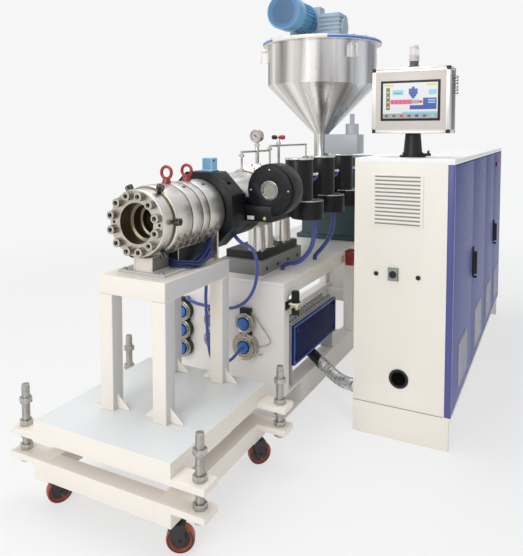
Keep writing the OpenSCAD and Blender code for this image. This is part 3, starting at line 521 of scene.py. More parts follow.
def smooth_route(points, steps=6):
    """Points of a smooth curve through the route's own points."""
    p = [Vector(q) for q in points]
    p = [2 * p[0] - p[1]] + p + [2 * p[-1] - p[-2]]
    made = []
    for a, b, c, d in zip(p, p[1:], p[2:], p[3:]):
        for k in range(steps):
            t = k / steps
            made.append(0.5 * (2 * b + (c - a) * t + (2 * a - 5 * b + 4 * c - d) * t * t
                               + (3 * b - a - 3 * c + d) * t * t * t))
    return made + [p[-2]]


def heater_sockets():
    face_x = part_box("base_panels")[0].x
    lip_x, cap_x, cap_r, hinge_w, hinge_d, bail_r = 0.046, 0.020, 0.033, 0.064, 0.030, 0.0030
    coil_n, coil_x, coil_step, coil_bar, lip_bar = 4, 0.008, 0.010, 0.0042, 0.0032
    # Y, Z, collar radius and hinge height of each socket
    places = [(-0.038, 0.504, 0.052, 0.026), (-0.038, 0.376, 0.070, 0.008), (0.162, 0.490, 0.052, 0.024),
              (0.162, 0.385, 0.052, 0.003), (0.362, 0.515, 0.052, 0.024), (0.362, 0.410, 0.052, 0.003),
              (0.362, 0.305, 0.052, 0.003)]
    collar = steel("collar_steel", (0.50, 0.47, 0.42), rough=0.26, wear_and_sheen=0.45, scale=140)
    cap = paint("cap_blue", (0.014, 0.15, 0.52), rough=0.22, mottle=0.15, coat=0.6)
    dark_wire = paint("socket_wire", (0.06, 0.055, 0.05), mottle=0.3)
    bail_wire = steel("bail_wire", (0.52, 0.46, 0.38), wear_and_sheen=0.3)
    dressed("heater_sockets", [collar], edge=0.0015)
    coils, caps, hinges = bmesh.new(), bmesh.new(), bmesh.new()
    for i, (y, z, r, h) in enumerate(places):
        centre = Vector((face_x, y, z))
        wrap = int(i > 1)
        for turn in range(coil_n):
            place = centre - Vector((coil_x + coil_step * turn, 0, 0))
            add_torus(coils, place, (1, 0, 0), r - 0.001, coil_bar, bar_sides=8,
                      index=wrap if turn < coil_n - 1 else 0)
        add_torus(coils, centre - Vector((lip_x, 0, 0)), (1, 0, 0), r - 0.011, lip_bar, bar_sides=8)
        cap_profile = [(-0.002, 0.0), (-0.002, cap_r * 0.97), (0.024, cap_r), (0.036, cap_r * 0.93),
                       (0.039, cap_r * 0.72), (0.0405, 0.0)]
        add_turned(caps, centre - Vector((cap_x, 0, 0)), (-1, 0, 0), cap_profile, sides=10)
        add_box(hinges, centre + Vector((-hinge_d, -hinge_w / 2, r - 0.010)),
                centre + Vector((0, hinge_w / 2, r + h)), 0.002)
    finish_mesh("socket_hinges", hinges, [black_plastic], "socket_steel")
    finish_mesh("socket_coils", coils, [collar, dark_wire], "socket_steel")
    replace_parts(finish_mesh("socket_caps_finish", caps, [cap], "cap_blue", crease=25), "socket_caps")
    # Y and Z along the bail
    bail = [(-0.066, 0.562), (-0.092, 0.545), (-0.110, 0.524), (-0.172, 0.446), (-0.184, 0.422),
            (-0.170, 0.402), (-0.112, 0.376), (-0.104, 0.352), (-0.120, 0.336), (-0.136, 0.348)]
    bm = bmesh.new()
    add_tube(bm, smooth_route([(face_x - hinge_d / 2, y, z) for y, z in bail], 4), bail_r, 8)
    finish_mesh("socket_bail", bm, [bail_wire], "socket_steel")


heater_sockets()


# Barrel support: a grey cast block and a black upper block bolted to the base, with polished
# columns up to the barrel.
def barrel_support():
    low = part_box("barrel_support")[0]
    grey_top, black_top = low.z + 0.080, low.z + 0.125
    cast = paint("support_grey", (0.27, 0.28, 0.27), rough=0.45, mottle=0.2)
    # Long vertical streaks of light and dark in the columns' steel: painted reflections on the polished
    # columns.
    polished = steel("support_column", (0.74, 0.72, 0.68), rough=0.16, stretch=(1, 1, 0.05), wear_and_sheen=0.35,
                     scale=70)

    def part_of(centre, normal):
        if centre.z > black_top + 0.001:
            return 2
        return 1 if centre.z > grey_top + 0.001 else 0

    dressed("barrel_support", [cast, black_plastic, polished], edge=0.003, pick=part_of)
    bolts = [(low.x + 0.06 + 0.14 * i, low.y - 0.001, low.z + 0.030) for i in range(4)]
    studs("support_bolts", bolts, (0, -1, 0), 12, 0.0085, 0.004, black_plastic, "dark_steel")
    edge_bolts = [(low.x + 0.05 + 0.145 * i, low.y + 0.027, black_top) for i in range(4)]
    studs("support_top_bolts", edge_bolts, (0, 0, 1), 6, 0.010, 0.008, zinc, "dark_steel")


barrel_support()


# Barrel: bright stainless cover sheets butted at the zone seams, with crumpled foil lagging laid on
# top between the first two pipes.
turned_cover = steel("barrel_cover", (0.86, 0.85, 0.83), stretch=(0.15, 1, 1), wear_and_sheen=0.1, scale=50)
dressed("barrel", [turned_cover], edge=0.001)


def foil_lagging():
    low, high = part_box("barrel")
    barrel_r, start_x = (high.z - low.z) / 2, low.x + 0.305
    long, wide, steps, rows = 0.26, 0.17, 26, 12
    foil = steel("foil", (0.88, 0.84, 0.77), wear_and_sheen=0.25, scale=120)
    bm = bmesh.new()
    grid = []
    for i in range(steps + 1):
        row = []
        for k in range(rows + 1):
            u, v = i / steps, k / rows - 0.5
            lump = (0.022 * math.sin(9 * u + 5 * v) * math.sin(23 * u * (1 + 0.3 * v) + 1.3)
                    + 0.010 * math.sin(41 * u + 17 * v + 2) + 0.007 * math.cos(67 * u - 31 * v))
            y = wide * v
            sag = barrel_r - math.sqrt(barrel_r ** 2 - y ** 2)
            lift = 0.004 + abs(lump) * (1 - (2 * v) ** 4) * min(1, 6 * u, 6 * (1 - u))
            row.append(bm.verts.new((start_x + long * u, y + 0.004 * math.sin(31 * u), high.z - sag + lift)))
        grid.append(row)
    for a, b in zip(grid, grid[1:]):
        for k in range(rows):
            bm.faces.new((a[k], b[k], b[k + 1], a[k + 1]))
    bmesh.ops.recalc_face_normals(bm, faces=bm.faces)
    bmesh.ops.solidify(bm, geom=bm.faces[:], thickness=0.001)
    finish_mesh("foil_lagging", bm, [foil], "bright_steel", crease=60)


foil_lagging()


# Pipework: thin bright tubes over the barrel with compression nuts, a pressure gauge on a stem and a
# small shut-off valve with a red and black grip.
def pipework():
    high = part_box("pipework")[1]
    barrel_low, barrel_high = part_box("barrel")
    barrel_top = barrel_high.z
    first_x, second_x = barrel_low.x + 0.287, barrel_low.x + 0.627
    gauge_x, valve_x = barrel_low.x + 0.467, barrel_low.x + 0.747
    gauge_r, nut_r, nut_h, leg_r = 0.036, 0.0145, 0.014, 0.006
    gauge_z = high.z - gauge_r
    first_z, second_z, valve_z, grip_z = (barrel_top + up for up in (0.078, 0.106, 0.136, 0.180))
    tube = steel("tube_steel", (0.70, 0.69, 0.66), rough=0.22, wear_and_sheen=0.2, scale=80)
    bezel = steel("gauge_bezel", (0.46, 0.45, 0.44), wear_and_sheen=0.2)
    dial = paint("gauge_dial", (0.62, 0.52, 0.50), rough=0.3, mottle=0.03)
    grip_red = paint("grip_red", (0.42, 0.016, 0.016), rough=0.35, mottle=0.1)
    dressed("pipework", [tube], edge=0.001)
    tops = ((first_x, first_z), (second_x, second_z), (gauge_x, gauge_z - 0.058), (valve_x, valve_z))
    nuts = [(x, 0, z) for x, top_z in tops for z in (barrel_top, top_z)]
    studs("pipe_nuts", nuts, (0, 0, 1), 6, nut_r, nut_h, tube, "pipework")
    bm = bmesh.new()
    centre = Vector((gauge_x - 0.015, 0, gauge_z))
    add_torus(bm, centre, (1, 0, 0), gauge_r - 0.003, 0.0042, index=0)
    dial_r = gauge_r - 0.005
    disc = [(0.0, 0.0), (0.0, dial_r), (0.001, dial_r - 0.001), (0.001, 0.0)]
    add_turned(bm, centre, (-1, 0, 0), disc, index=1)
    tick_n = 11
    at = centre - Vector((0.0012, 0, 0))
    for k in range(tick_n):
        turn = math.radians(-45 + 270 * k / (tick_n - 1))
        ray = Vector((0, math.cos(turn), math.sin(turn)))
        add_round(bm, at + ray * 0.022, at + ray * 0.027, 0.0007, sides=4, index=2)
    at = centre - Vector((0.0022, 0, 0))
    tail, tip = at + Vector((0, 0.012, 0.010)), at - Vector((0, 0.016, 0.014))
    add_round(bm, tail, tip, 0.0014, 0.0005, sides=6, index=2)
    add_round(bm, at + Vector((0.001, 0, 0)), at - Vector((0.001, 0, 0)), 0.004, sides=16, index=2)
    finish_mesh("gauge_face", bm, [bezel, dial, black_plastic], "pipework")
    bm = bmesh.new()
    for s, index in ((1, 0), (-1, 1)):
        add_turned(bm, (valve_x, 0, grip_z), (0, s, 0),
                   [(0.002, 0.0), (0.002, 0.0105), (0.030, 0.0140), (0.040, 0.0120), (0.041, 0.0)], 24, index)
    end_x = high.x - leg_r
    leg = bmesh.new()
    add_round(leg, (end_x, 0, barrel_top - 0.004), (end_x, 0, valve_z), leg_r, sides=20)
    finish_mesh("pipe_leg", leg, [tube], "pipework")
    finish_mesh("valve_grip", bm, [black_plastic, grip_red], "pipework")


pipework()


# Heater cover: an octagonal box of black sheet over the adapter between barrel and die, closed by
# small screws, with a pale blue sensor box on top.
black_enamel = paint("black_enamel", (0.0075, 0.008, 0.010), rough=0.34, mottle=0.2, gloss=0.3)


def heater_cover():
    low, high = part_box("heater_cover")
    axis_z, half = (low.z + high.z) / 2, (high.z - low.z) / 2
    dressed("heater_cover", [black_enamel], edge=0.002)
    box_low, box_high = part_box("sensor_box")
    pale_blue = paint("sensor_blue", (0.28, 0.60, 0.86), rough=0.3, mottle=0.1, coat=0.3)
    side_blue = paint("sensor_side", (0.16, 0.34, 0.55), rough=0.35, mottle=0.1)
    plate_grey = paint("sensor_plate", (0.20, 0.21, 0.22), mottle=0.1)

    def part_of(centre, normal):
        if centre.z < box_low.z + 0.009:
            return 2
        return 1 if normal.x < -0.7 else 0

    dressed("sensor_box", [pale_blue, side_blue, plate_grey], edge=0.003, pick=part_of)
    screw_r = half * 0.90
    places = [(low.x, screw_r * s, axis_z + screw_r * c) for c, s in spokes(8)]
    studs("cover_screws", places, (-1, 0, 0), 12, 0.005, 0.002, black_plastic, "heater_cover")
    box_screw = [((box_low.x + box_high.x) / 2 - 0.01, box_low.y + 0.005, box_high.z - 0.012)]
    studs("sensor_screw", box_screw, (0, -1, 0), 12, 0.005, 0.003, black_plastic, "sensor_box")


heater_cover()


# Cooling blowers: black enamelled fan cases and motors with bright pressed lids and short bent pipes.
# The front blower's disc is screwed on round its honeycomb inlet, over a small duct box, and a thin
# black sheet wrapped round the underside and near side of the barrel's front is painted shade there.
def cooling_blowers():
    front_x, centre_y, centre_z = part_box("blower_lids")[0].x + 0.004, -0.304, 1.252
    grille_r, cell, groove_r, bolt_r = 0.036, 0.0066, 0.076, 0.098
    lid = steel("lid_steel", (0.84, 0.84, 0.84), rough=0.26, wear_and_sheen=0.12)
    ring = steel("inlet_ring", (0.24, 0.24, 0.24), rough=0.34, wear_and_sheen=0.4, scale=120)
    grille = paint("inlet_grille", (0.70, 0.70, 0.60), mottle=0.1)
    cell_dark = paint("inlet_cell", (0.22, 0.21, 0.16), rough=0.5, mottle=0.2)
    white_screw = paint("white_screw", (0.78, 0.78, 0.76), rough=0.3)
    plate = paint("duct_plate", (0.62, 0.62, 0.60), mottle=0.1)
    earth = paint("earth_mark", (0.62, 0.60, 0.08), mottle=0.1)
    dressed("cooling_blowers", [black_enamel], edge=0.003)

    def lid_part(centre, normal):
        if centre.x > front_x + 0.04:
            return 0
        return 2 if centre.x > front_x + 0.005 else 1

    dressed("blower_lids", [lid, ring, grille], edge=0.001, pick=lid_part)
    cells = []
    for row in range(-6, 7):
        for column in range(-6, 7):
            y, z = cell * (column + 0.5 * (row % 2)), cell * 0.866 * row
            if math.hypot(y, z) < grille_r - cell / 2:
                cells.append((front_x + 0.008, centre_y + y, centre_z + z))
    studs("inlet_cells", cells, (-1, 0, 0), 6, cell * 0.44, 0.0008, cell_dark, "blower_lids")
    bolts = [(front_x, centre_y + bolt_r * s, centre_z + bolt_r * c) for c, s in spokes(4)]
    studs("blower_screws", bolts, (-1, 0, 0), 12, 0.0036, 0.002, white_screw, "blower_lids")
    # Two arcs of the groove round the disc, drawn as thin black tubes: painted shade in the groove.
    bm = bmesh.new()
    for start, sweep in ((-60, 70), (200, 60)):
        arc = [math.radians(start + sweep * k / 12) for k in range(13)]
        add_tube(bm, [(front_x - 0.0004, centre_y + groove_r * math.sin(t), centre_z + groove_r * math.cos(t))
                      for t in arc], 0.0012, 6)
    finish_mesh("blower_groove_shade", bm, [black_plastic], "blower_lids")
    face, duct_end, duct_side, duct_z = front_x - 0.006, front_x + 0.19, centre_y - 0.014, centre_z - 0.152
    mark = Vector((face, -0.282, duct_z + 0.018))
    bm = bmesh.new()
    add_box(bm, (face, duct_side, duct_z), (duct_end, -0.150, duct_z + 0.075), 0.004, 0)
    add_box(bm, (face - 0.0012, -0.226, duct_z + 0.009), (face, -0.188, duct_z + 0.027), 0.0004, 1)
    add_round(bm, mark, mark - Vector((0.0015, 0, 0)), 0.008, sides=20, index=2)
    finish_mesh("blower_duct", bm, [black_enamel, plate, earth], "cooling_blowers")


# A thin black sheet round the underside and near side of the front of the barrel: painted shade on the
# barrel.
def barrel_shade_sheet():
    low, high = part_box("barrel")
    barrel_r, axis_z, steps = (high.z - low.z) / 2, (high.z + low.z) / 2, 28
    front, back, inside, outside = low.x, low.x + 0.235, barrel_r - 0.002, barrel_r + 0.004
    section = ((front, outside), (back, outside), (back, inside), (front, inside))
    bm, rows = bmesh.new(), []
    for k in range(steps + 1):
        turn = math.radians(-70 + 180 * k / steps)
        rows.append([bm.verts.new((x, -r * math.sin(turn), axis_z - r * math.cos(turn))) for x, r in section])
    for a, b in zip(rows, rows[1:]):
        for k in range(4):
            bm.faces.new((a[k], a[k - 1], b[k - 1], b[k]))
    bm.faces.new(rows[0])
    bm.faces.new(rows[-1][::-1])
    bmesh.ops.recalc_face_normals(bm, faces=bm.faces)
    finish_mesh("barrel_shade_sheet", bm, [black_enamel], "cooling_blowers")


def motor_links():
    link_white = paint("link_white", (0.80, 0.80, 0.80), rough=0.3)
    link_blue = paint("link_blue", (0.05, 0.10, 0.42), rough=0.3, mottle=0.1)
    motor_r, motor_y, link_z, link_r = 0.076, -0.250, 1.296, 0.007
    out = Vector((math.cos(math.radians(-52)), math.sin(math.radians(-52)), 0))
    side, down = Vector((-out.y, out.x, 0)), Vector((0, 0, -1))
    # Way out of the motor, to its side and down, along a link
    bend = [(0, 0, 0), (0.016, 0, 0), (0.030, 0.010, 0), (0.036, 0.028, 0), (0.034, 0.034, 0.018),
            (0.022, 0.034, 0.032), (0, 0.030, 0.036)]
    bm = bmesh.new()
    for zone_x in (0.157, 0.499, 0.841):
        foot = Vector((zone_x, motor_y, link_z)) + out * (motor_r - 0.002)
        line = smooth_route([foot + out * a + side * b + down * c for a, b, c in bend], 4)
        half = len(line) // 2
        add_tube(bm, line[:half + 1], link_r, 10, 0)
        add_tube(bm, line[half:], link_r, 10, 1)
    finish_mesh("motor_links", bm, [link_white, link_blue], "cooling_blowers")


cooling_blowers()
barrel_shade_sheet()
motor_links()


# Hopper: brushed stainless cylinder and cone welded to a spout, with latches on its wall, on a grey
# feed throat with a side feeder. The steel has a fine grain from top to bottom under painted
# reflections: broad streaks of light and dark down it, and a painted sheen that turns from warm on
# one side to cool blue-grey on the other. The cream lid, bolted down all round, still has strips of
# blue film on its rim.
def brushed_round(name, axis_x, sheen_side, sheen_warm, sheen_cool, rough):
    """Stainless sheet rolled about a vertical axis: a fine grain runs down it, under painted reflections:
    broad streaks of light and dark round it, and a painted sheen that turns from warm to cool round it.
    """
    material, tree, shader = new_material(name)
    shader.inputs["Metallic"].default_value = 1.0
    parts = wire(tree, "ShaderNodeSeparateXYZ", {0: object_place(tree)}).outputs
    around = calc(tree, "ARCTAN2", parts["Y"], calc(tree, "SUBTRACT", parts["X"], axis_x))
    down = calc(tree, "MULTIPLY", parts["Z"], 0.12)
    sheet = wire(tree, "ShaderNodeCombineXYZ", {"X": around, "Y": down}).outputs[0]
    hair = noise(tree, sheet, 160.0, 4.0)
    # Painted reflections: broad streaks of light and dark round the sheet.
    band = span(tree, noise(tree, sheet, 4.2, 2.0), 0.45, 1.1, 0.34, 0.66)
    # Painted sheen: warm towards one side of the hopper and cool on the far side.
    sway = calc(tree, "COSINE", calc(tree, "SUBTRACT", around, sheen_side))
    painted_sheen = blend(tree, span(tree, sway, start=-1.0), sheen_cool + (1,), sheen_warm + (1,))
    level = calc(tree, "MULTIPLY", band, span(tree, hair, 0.9, 1.0))
    shade = wire(tree, "ShaderNodeVectorMath", {0: painted_sheen, "Scale": level}, operation="SCALE").outputs[0]
    set_finish(tree, shader, shade, (hair, rough - 0.06, rough + 0.1), (hair, 0.05, 0.0004))
    return material


def hopper():
    lid_low, lid_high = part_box("hopper_lid")
    axis_x, lid_r = (lid_low.x + lid_high.x) / 2, (lid_high.x - lid_low.x) / 2
    wall_r, rim_z = lid_r - 0.037, lid_low.z
    front = math.radians(-158.4)
    # Tints of the painted sheen on the steel: warm on its lit side and cool round the back.
    sheen_warm, sheen_cool = (0.91, 0.87, 0.82), (0.67, 0.71, 0.79)
    stainless = brushed_round("hopper_stainless", axis_x, front - 1.2, sheen_warm, sheen_cool, 0.24)
    latch_white = paint("latch_zinc", (0.86, 0.84, 0.80), rough=0.35, mottle=0.1)
    throat = paint("throat_grey", (0.52, 0.55, 0.59), rough=0.32, mottle=0.12)
    cream = paint("lid_cream", (0.84, 0.80, 0.72), rough=0.34, mottle=0.04)
    film = paint("film_blue", (0.06, 0.20, 0.56), rough=0.3, mottle=0.15, coat=0.3)
    dressed("hopper_shell", [stainless], edge=0.0008)
    half, latch_x, bar = 0.026, wall_r + 0.056, 0.011
    latch_foot, latch_top = rim_z - 0.117, rim_z - 0.031
    bm = bmesh.new()
    for turn in (-130, -42, 117):
        latch = bmesh.new()
        add_box(latch, (wall_r - 0.004, -half, latch_foot), (wall_r + bar, half, latch_top), 0.002)
        for y in (-half, half - bar):
            add_box(latch, (wall_r, y, latch_top - bar), (latch_x, y + bar, latch_top), 0.002)
            add_box(latch, (latch_x - bar, y, latch_foot), (latch_x, y + bar, latch_top - 0.003), 0.002)
        place = Matrix.Translation((axis_x, 0, 0)) @ Matrix.Rotation(math.radians(turn), 4, "Z")
        bmesh.ops.transform(latch, matrix=place, verts=latch.verts)
        made = bpy.data.meshes.new("latch")
        latch.to_mesh(made)
        latch.free()
        bm.from_mesh(made)
        bpy.data.meshes.remove(made)
    finish_mesh("hopper_latches", bm, [latch_white], "hopper_shell")
    dressed("feed_throat", [throat], edge=0.003)

    def is_filmed(centre, normal):
        if normal.z > 0.9 or normal.z < -0.5:
            return 0
        turn = math.degrees(math.atan2(centre.y, centre.x - axis_x) - front)
        turn = (turn + 180) % 360 - 180
        return int(3 < turn < 130 or -150 < turn < -54)

    dressed("hopper_lid", [cream, film], edge=0.0015, pick=is_filmed)
    bolt_n, bolt_r = 24, lid_r - 0.020
    places = [(axis_x + bolt_r * c, bolt_r * s, lid_high.z) for c, s in spokes(bolt_n, 0.5)]
    studs("lid_bolts", places, (0, 0, 1), 6, 0.007, 0.005, zinc, "hopper_lid")
    bm = bmesh.new()
    spout_r, weld_r = 0.0525, 0.0022
    add_torus(bm, (axis_x, 0, rim_z - 0.277), (0, 0, 1), wall_r, weld_r, sides=72, bar_sides=8)
    add_torus(bm, (axis_x, 0, rim_z - 0.616), (0, 0, 1), spout_r, weld_r, sides=48, bar_sides=8)
    finish_mesh("hopper_welds", bm, [stainless], "hopper_shell")


hopper()


# Mixer drive: a cast worm reducer with ribs, painted grey-blue and bolted to the lid, and a blue finned
# motor, whose fan cowl ends in a plate with rings of dark holes.
motor_blue = paint("motor_blue", (0.13, 0.38, 0.62), rough=0.32, mottle=0.12, coat=0.25)


def mixer():
    low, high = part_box("mixer_motor")
    cowl_y, cowl_r = (low.y + high.y) / 2, (high.y - low.y) / 2
    cowl_z, hole_step = low.z + cowl_r, 0.0098
    reducer_grey = paint("reducer_grey", (0.34, 0.42, 0.52), rough=0.36, mottle=0.15)
    cowl_blue = paint("cowl_blue", (0.10, 0.22, 0.40), rough=0.36, mottle=0.1)
    hole_dark = paint("cowl_hole", (0.030, 0.065, 0.12), rough=0.5, mottle=0.2)
    dressed("mixer_gearbox", [reducer_grey], edge=0.005)
    box_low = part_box("mixer_gearbox")[0]
    box_x, box_y, rib_out, rib_back = box_low.x + 0.095, box_low.y + 0.100, 0.088, 0.070
    rib_n, rib_z, rib_step, rib_h = 5, box_low.z + 0.050, 0.028, 0.012
    bm = bmesh.new()
    for i in range(rib_n):
        z = rib_z + rib_step * i
        add_box(bm, (box_x - rib_out, box_y - rib_out, z),
                (box_x + rib_out, box_y + rib_back, z + rib_h), 0.003)
    finish_mesh("reducer_ribs", bm, [reducer_grey], "mixer_gearbox")
    dressed("mixer_motor", [motor_blue, cowl_blue], edge=0.002,
            pick=lambda centre, normal: int(normal.x < -0.7 and centre.x < low.x + 0.003))
    holes = [(low.x, cowl_y + hole_step * ring * c, cowl_z + hole_step * ring * s)
             for ring in range(1, 9) for c, s in spokes(6 * ring)]
    studs("cowl_holes", holes, (-1, 0, 0), 6, 0.0036, 0.0006, hole_dark, "mixer_motor")
    bm = bmesh.new()
    add_torus(bm, (low.x + 0.001, cowl_y, cowl_z), (1, 0, 0), cowl_r - 0.006, 0.005, sides=56)
    finish_mesh("cowl_rim", bm, [motor_blue], "mixer_motor")


mixer()


# Drive: a ribbed gearbox casting behind the hopper and the finned main motor at the rear end.
# Both are bolted to the base's top plate.
def drive():
    low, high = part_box("gearbox")
    gearbox_green = paint("gearbox_green", (0.035, 0.085, 0.095), mottle=0.2)
    dressed("gearbox", [gearbox_green], edge=0.005)
    dressed("drive_motor", [motor_blue], edge=0.002)
    sides = (low.y + 0.014, high.y - 0.014)
    feet = [(low.x + 0.10 + 0.11 * i, y, low.z + 0.031) for i in range(4) for y in sides]
    studs("gearbox_bolts", feet, (0, 0, 1), 6, 0.011, 0.009, zinc, "gearbox")


drive()


# Die: turned steel rings with a stepped bore, clamped by socket screws with turned heads, a knurled
# band behind the front ring, black adjusting bolts set round it, and heater bands that are closed by
# clamp screws below.
def turned_steel(name, axis_z, colour, rough):
    """Steel turned about the extrusion axis: fine tool rings, the same all the way round."""
    material, tree, shader = new_material(name)
    shader.inputs["Metallic"].default_value = 1.0
    place = object_place(tree)
    parts = wire(tree, "ShaderNodeSeparateXYZ", {0: place}).outputs
    up = calc(tree, "SUBTRACT", parts["Z"], axis_z)
    flat = wire(tree, "ShaderNodeCombineXYZ", {"X": parts["Y"], "Y": up}).outputs[0]
    out = wire(tree, "ShaderNodeVectorMath", {0: flat}, operation="LENGTH").outputs["Value"]
    rings = wire(tree, "ShaderNodeCombineXYZ", {"X": parts["X"], "Y": out}).outputs[0]
    tool, stain = noise(tree, rings, 420.0, 3.0), noise(tree, place, 16.0, 5.0)
    tone = blend(tree, stain, tuple(c * 0.78 for c in colour) + (1,), colour + (1,))
    set_finish(tree, shader, tone, (tool, rough - 0.08, rough + 0.1), (tool, 0.08, 0.0004))
    return material


def die():
    low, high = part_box("die_body")
    front, axis_z, shell_r = low.x, (low.z + high.z) / 2, (high.z - low.z) / 2
    bore_r, bore_shade_from, neck_from = 0.090, 0.175, 0.4475
    slot = slot_of["die_body"]
    face_steel = turned_steel("die_face", axis_z, (0.70, 0.65, 0.57), 0.36)
    shell_steel = turned_steel("die_shell", axis_z, (0.90, 0.88, 0.85), 0.34)
    bore_steel = turned_steel("die_bore", axis_z, (0.40, 0.35, 0.27), 0.3)
    straw_steel = turned_steel("die_neck", axis_z, (0.46, 0.36, 0.20), 0.3)
    # Near black for the bore deep inside, the screw sockets, the dowel holes and the slots: painted shade in
    # these recesses. The seams between the rings take it as dark joints.
    bore_dark = paint("bore_dark", (0.012, 0.012, 0.012), rough=0.6, mottle=0.2, gloss=0.2)

    def body_part(centre, normal):
        out = math.hypot(centre.y, centre.z - axis_z)
        deep = centre.x - front
        if deep < 0.001:
            return 0
        # Deeper in the bore the steel is painted near black: painted shade inside the bore.
        if out < bore_r and deep < 0.3:
            return 3 if deep > bore_shade_from else 2
        return 4 if deep > neck_from else 1

    dressed("die_body", [face_steel, shell_steel, bore_steel, bore_dark, straw_steel], edge=0.0012,
            pick=body_part)
    screw_n, screw_ring, socket_r, head_h = 12, 0.116, 0.0098, 0.024
    screw_step = 2 * math.pi / screw_n
    head_face = steel("screw_face", (0.60, 0.56, 0.49), rough=0.28, wear_and_sheen=0.2, scale=150)
    # A darker copy of the face steel for the round flanks of the screw heads: painted shade on their sides.
    # The band clamps' heads and nuts use it too.
    head_flank = steel("screw_flank", (0.28, 0.25, 0.21), rough=0.34, wear_and_sheen=0.4, scale=150)
    screw_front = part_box("die_screws")[0].x

    def screw_part(centre, normal):
        back = centre.x - screw_front
        if back > head_h + 0.002:
            return 3
        turn = math.atan2(centre.y, centre.z - axis_z)
        turn = (math.floor(turn / screw_step) + 0.5) * screw_step
        y, z = screw_ring * math.sin(turn), axis_z + screw_ring * math.cos(turn)
        off = math.hypot(centre.y - y, centre.z - z)
        if back < 0.0006 and normal.x < -0.7:
            return 0
        return 2 if off < socket_r and back < 0.02 else 1

    dressed("die_screws", [head_face, head_flank, bore_dark, black_plastic], edge=0.0012, pick=screw_part)
    bm = bmesh.new()
    head_r, key_r, top, rim, key_foot = 0.0185, 0.0100, 0.030, 0.028, 0.018
    flank = [(0.0, 0.0149), (0.0, head_r), (rim, head_r)]
    crown = [(rim, head_r), (top, head_r - 0.002), (top, key_r)]
    key_hole = [(top, key_r), (key_foot, key_r), (key_foot, 0.0)]
    for c, s in spokes(screw_n, 0.5):
        foot = Vector((front, screw_ring * s, axis_z + screw_ring * c))
        for profile, index in ((flank, 1), (crown, 0), (key_hole, 2)):
            add_turned(bm, foot, (-1, 0, 0), profile, 28, index)
    finish_mesh("screw_heads", bm, [head_face, head_flank, bore_dark], "die_screws")
    red = paint("eye_red", (0.33, 0.012, 0.018), rough=0.28, mottle=0.1, coat=0.4)
    dressed("eye_bolts", [red], edge=0.001)
    bead_n, bead_x, bead_foot = 92, front + 0.065, 0.1250
    rays = [(0, s, c) for c, s in spokes(bead_n)]
    beads = [(bead_x, bead_foot * s, axis_z + bead_foot * c) for c, s in spokes(bead_n)]
    studs("die_knurl", beads, rays, 6, 0.0046, 0.0125, face_steel, slot)
    dowels = [(front, y, axis_z) for y in (-screw_ring, screw_ring)]
    studs("die_dowels", dowels, (-1, 0, 0), 16, 0.0065, 0.0005, bore_dark, slot)
    top_z = axis_z + shell_r
    bm = bmesh.new()
    for x in (front + 0.236, front + 0.388):
        add_box(bm, (x - 0.014, -0.005, top_z - 0.003), (x + 0.014, 0.005, top_z + 0.0005), 0.0005)
    turn = Matrix.Rotation(math.radians(28), 3, "X")
    bmesh.ops.rotate(bm, verts=bm.verts, cent=(0, 0, axis_z), matrix=turn)
    finish_mesh("die_slots", bm, [bore_dark], slot)
    clamp_steel = steel("clamp_steel", (0.40, 0.38, 0.34), rough=0.34, wear_and_sheen=0.4, scale=120)
    bm = bmesh.new()
    seam_w, seam_r = 0.005, shell_r - 0.0022
    for seam in (0.184, 0.264, 0.320):
        centre = (front + seam + seam_w / 2, 0, axis_z)
        add_torus(bm, centre, (1, 0, 0), seam_r, 0.0031, sides=72, bar_sides=6)
    finish_mesh("die_seams", bm, [bore_dark], slot)
    bm = bmesh.new()
    screw_z, clamp_n, clamp_x, clamp_step = top_z + 0.007, 7, front + 0.105, 0.048
    # Start, end, radius, sides and finish of a clamp's screw, its head and its nut
    bars = ((-0.034, 0.040, 0.0028, 10, 0), (-0.034, -0.026, 0.0062, 6, 1), (0.018, 0.024, 0.0060, 6, 1))
    for i in range(clamp_n):
        x = clamp_x + clamp_step * i
        for y in (-0.016, 0.008):
            add_box(bm, (x - 0.009, y, top_z - 0.004), (x + 0.009, y + 0.006, top_z + 0.014), 0.0012, 0)
        for start, end, radius, sides, index in bars:
            add_round(bm, (x, start, screw_z), (x, end, screw_z), radius, sides=sides, index=index)
    turn = Matrix.Rotation(math.radians(122), 3, "X")
    bmesh.ops.rotate(bm, verts=bm.verts, cent=(0, 0, axis_z), matrix=turn)
    finish_mesh("band_clamps", bm, [clamp_steel, head_flank], slot)


die()
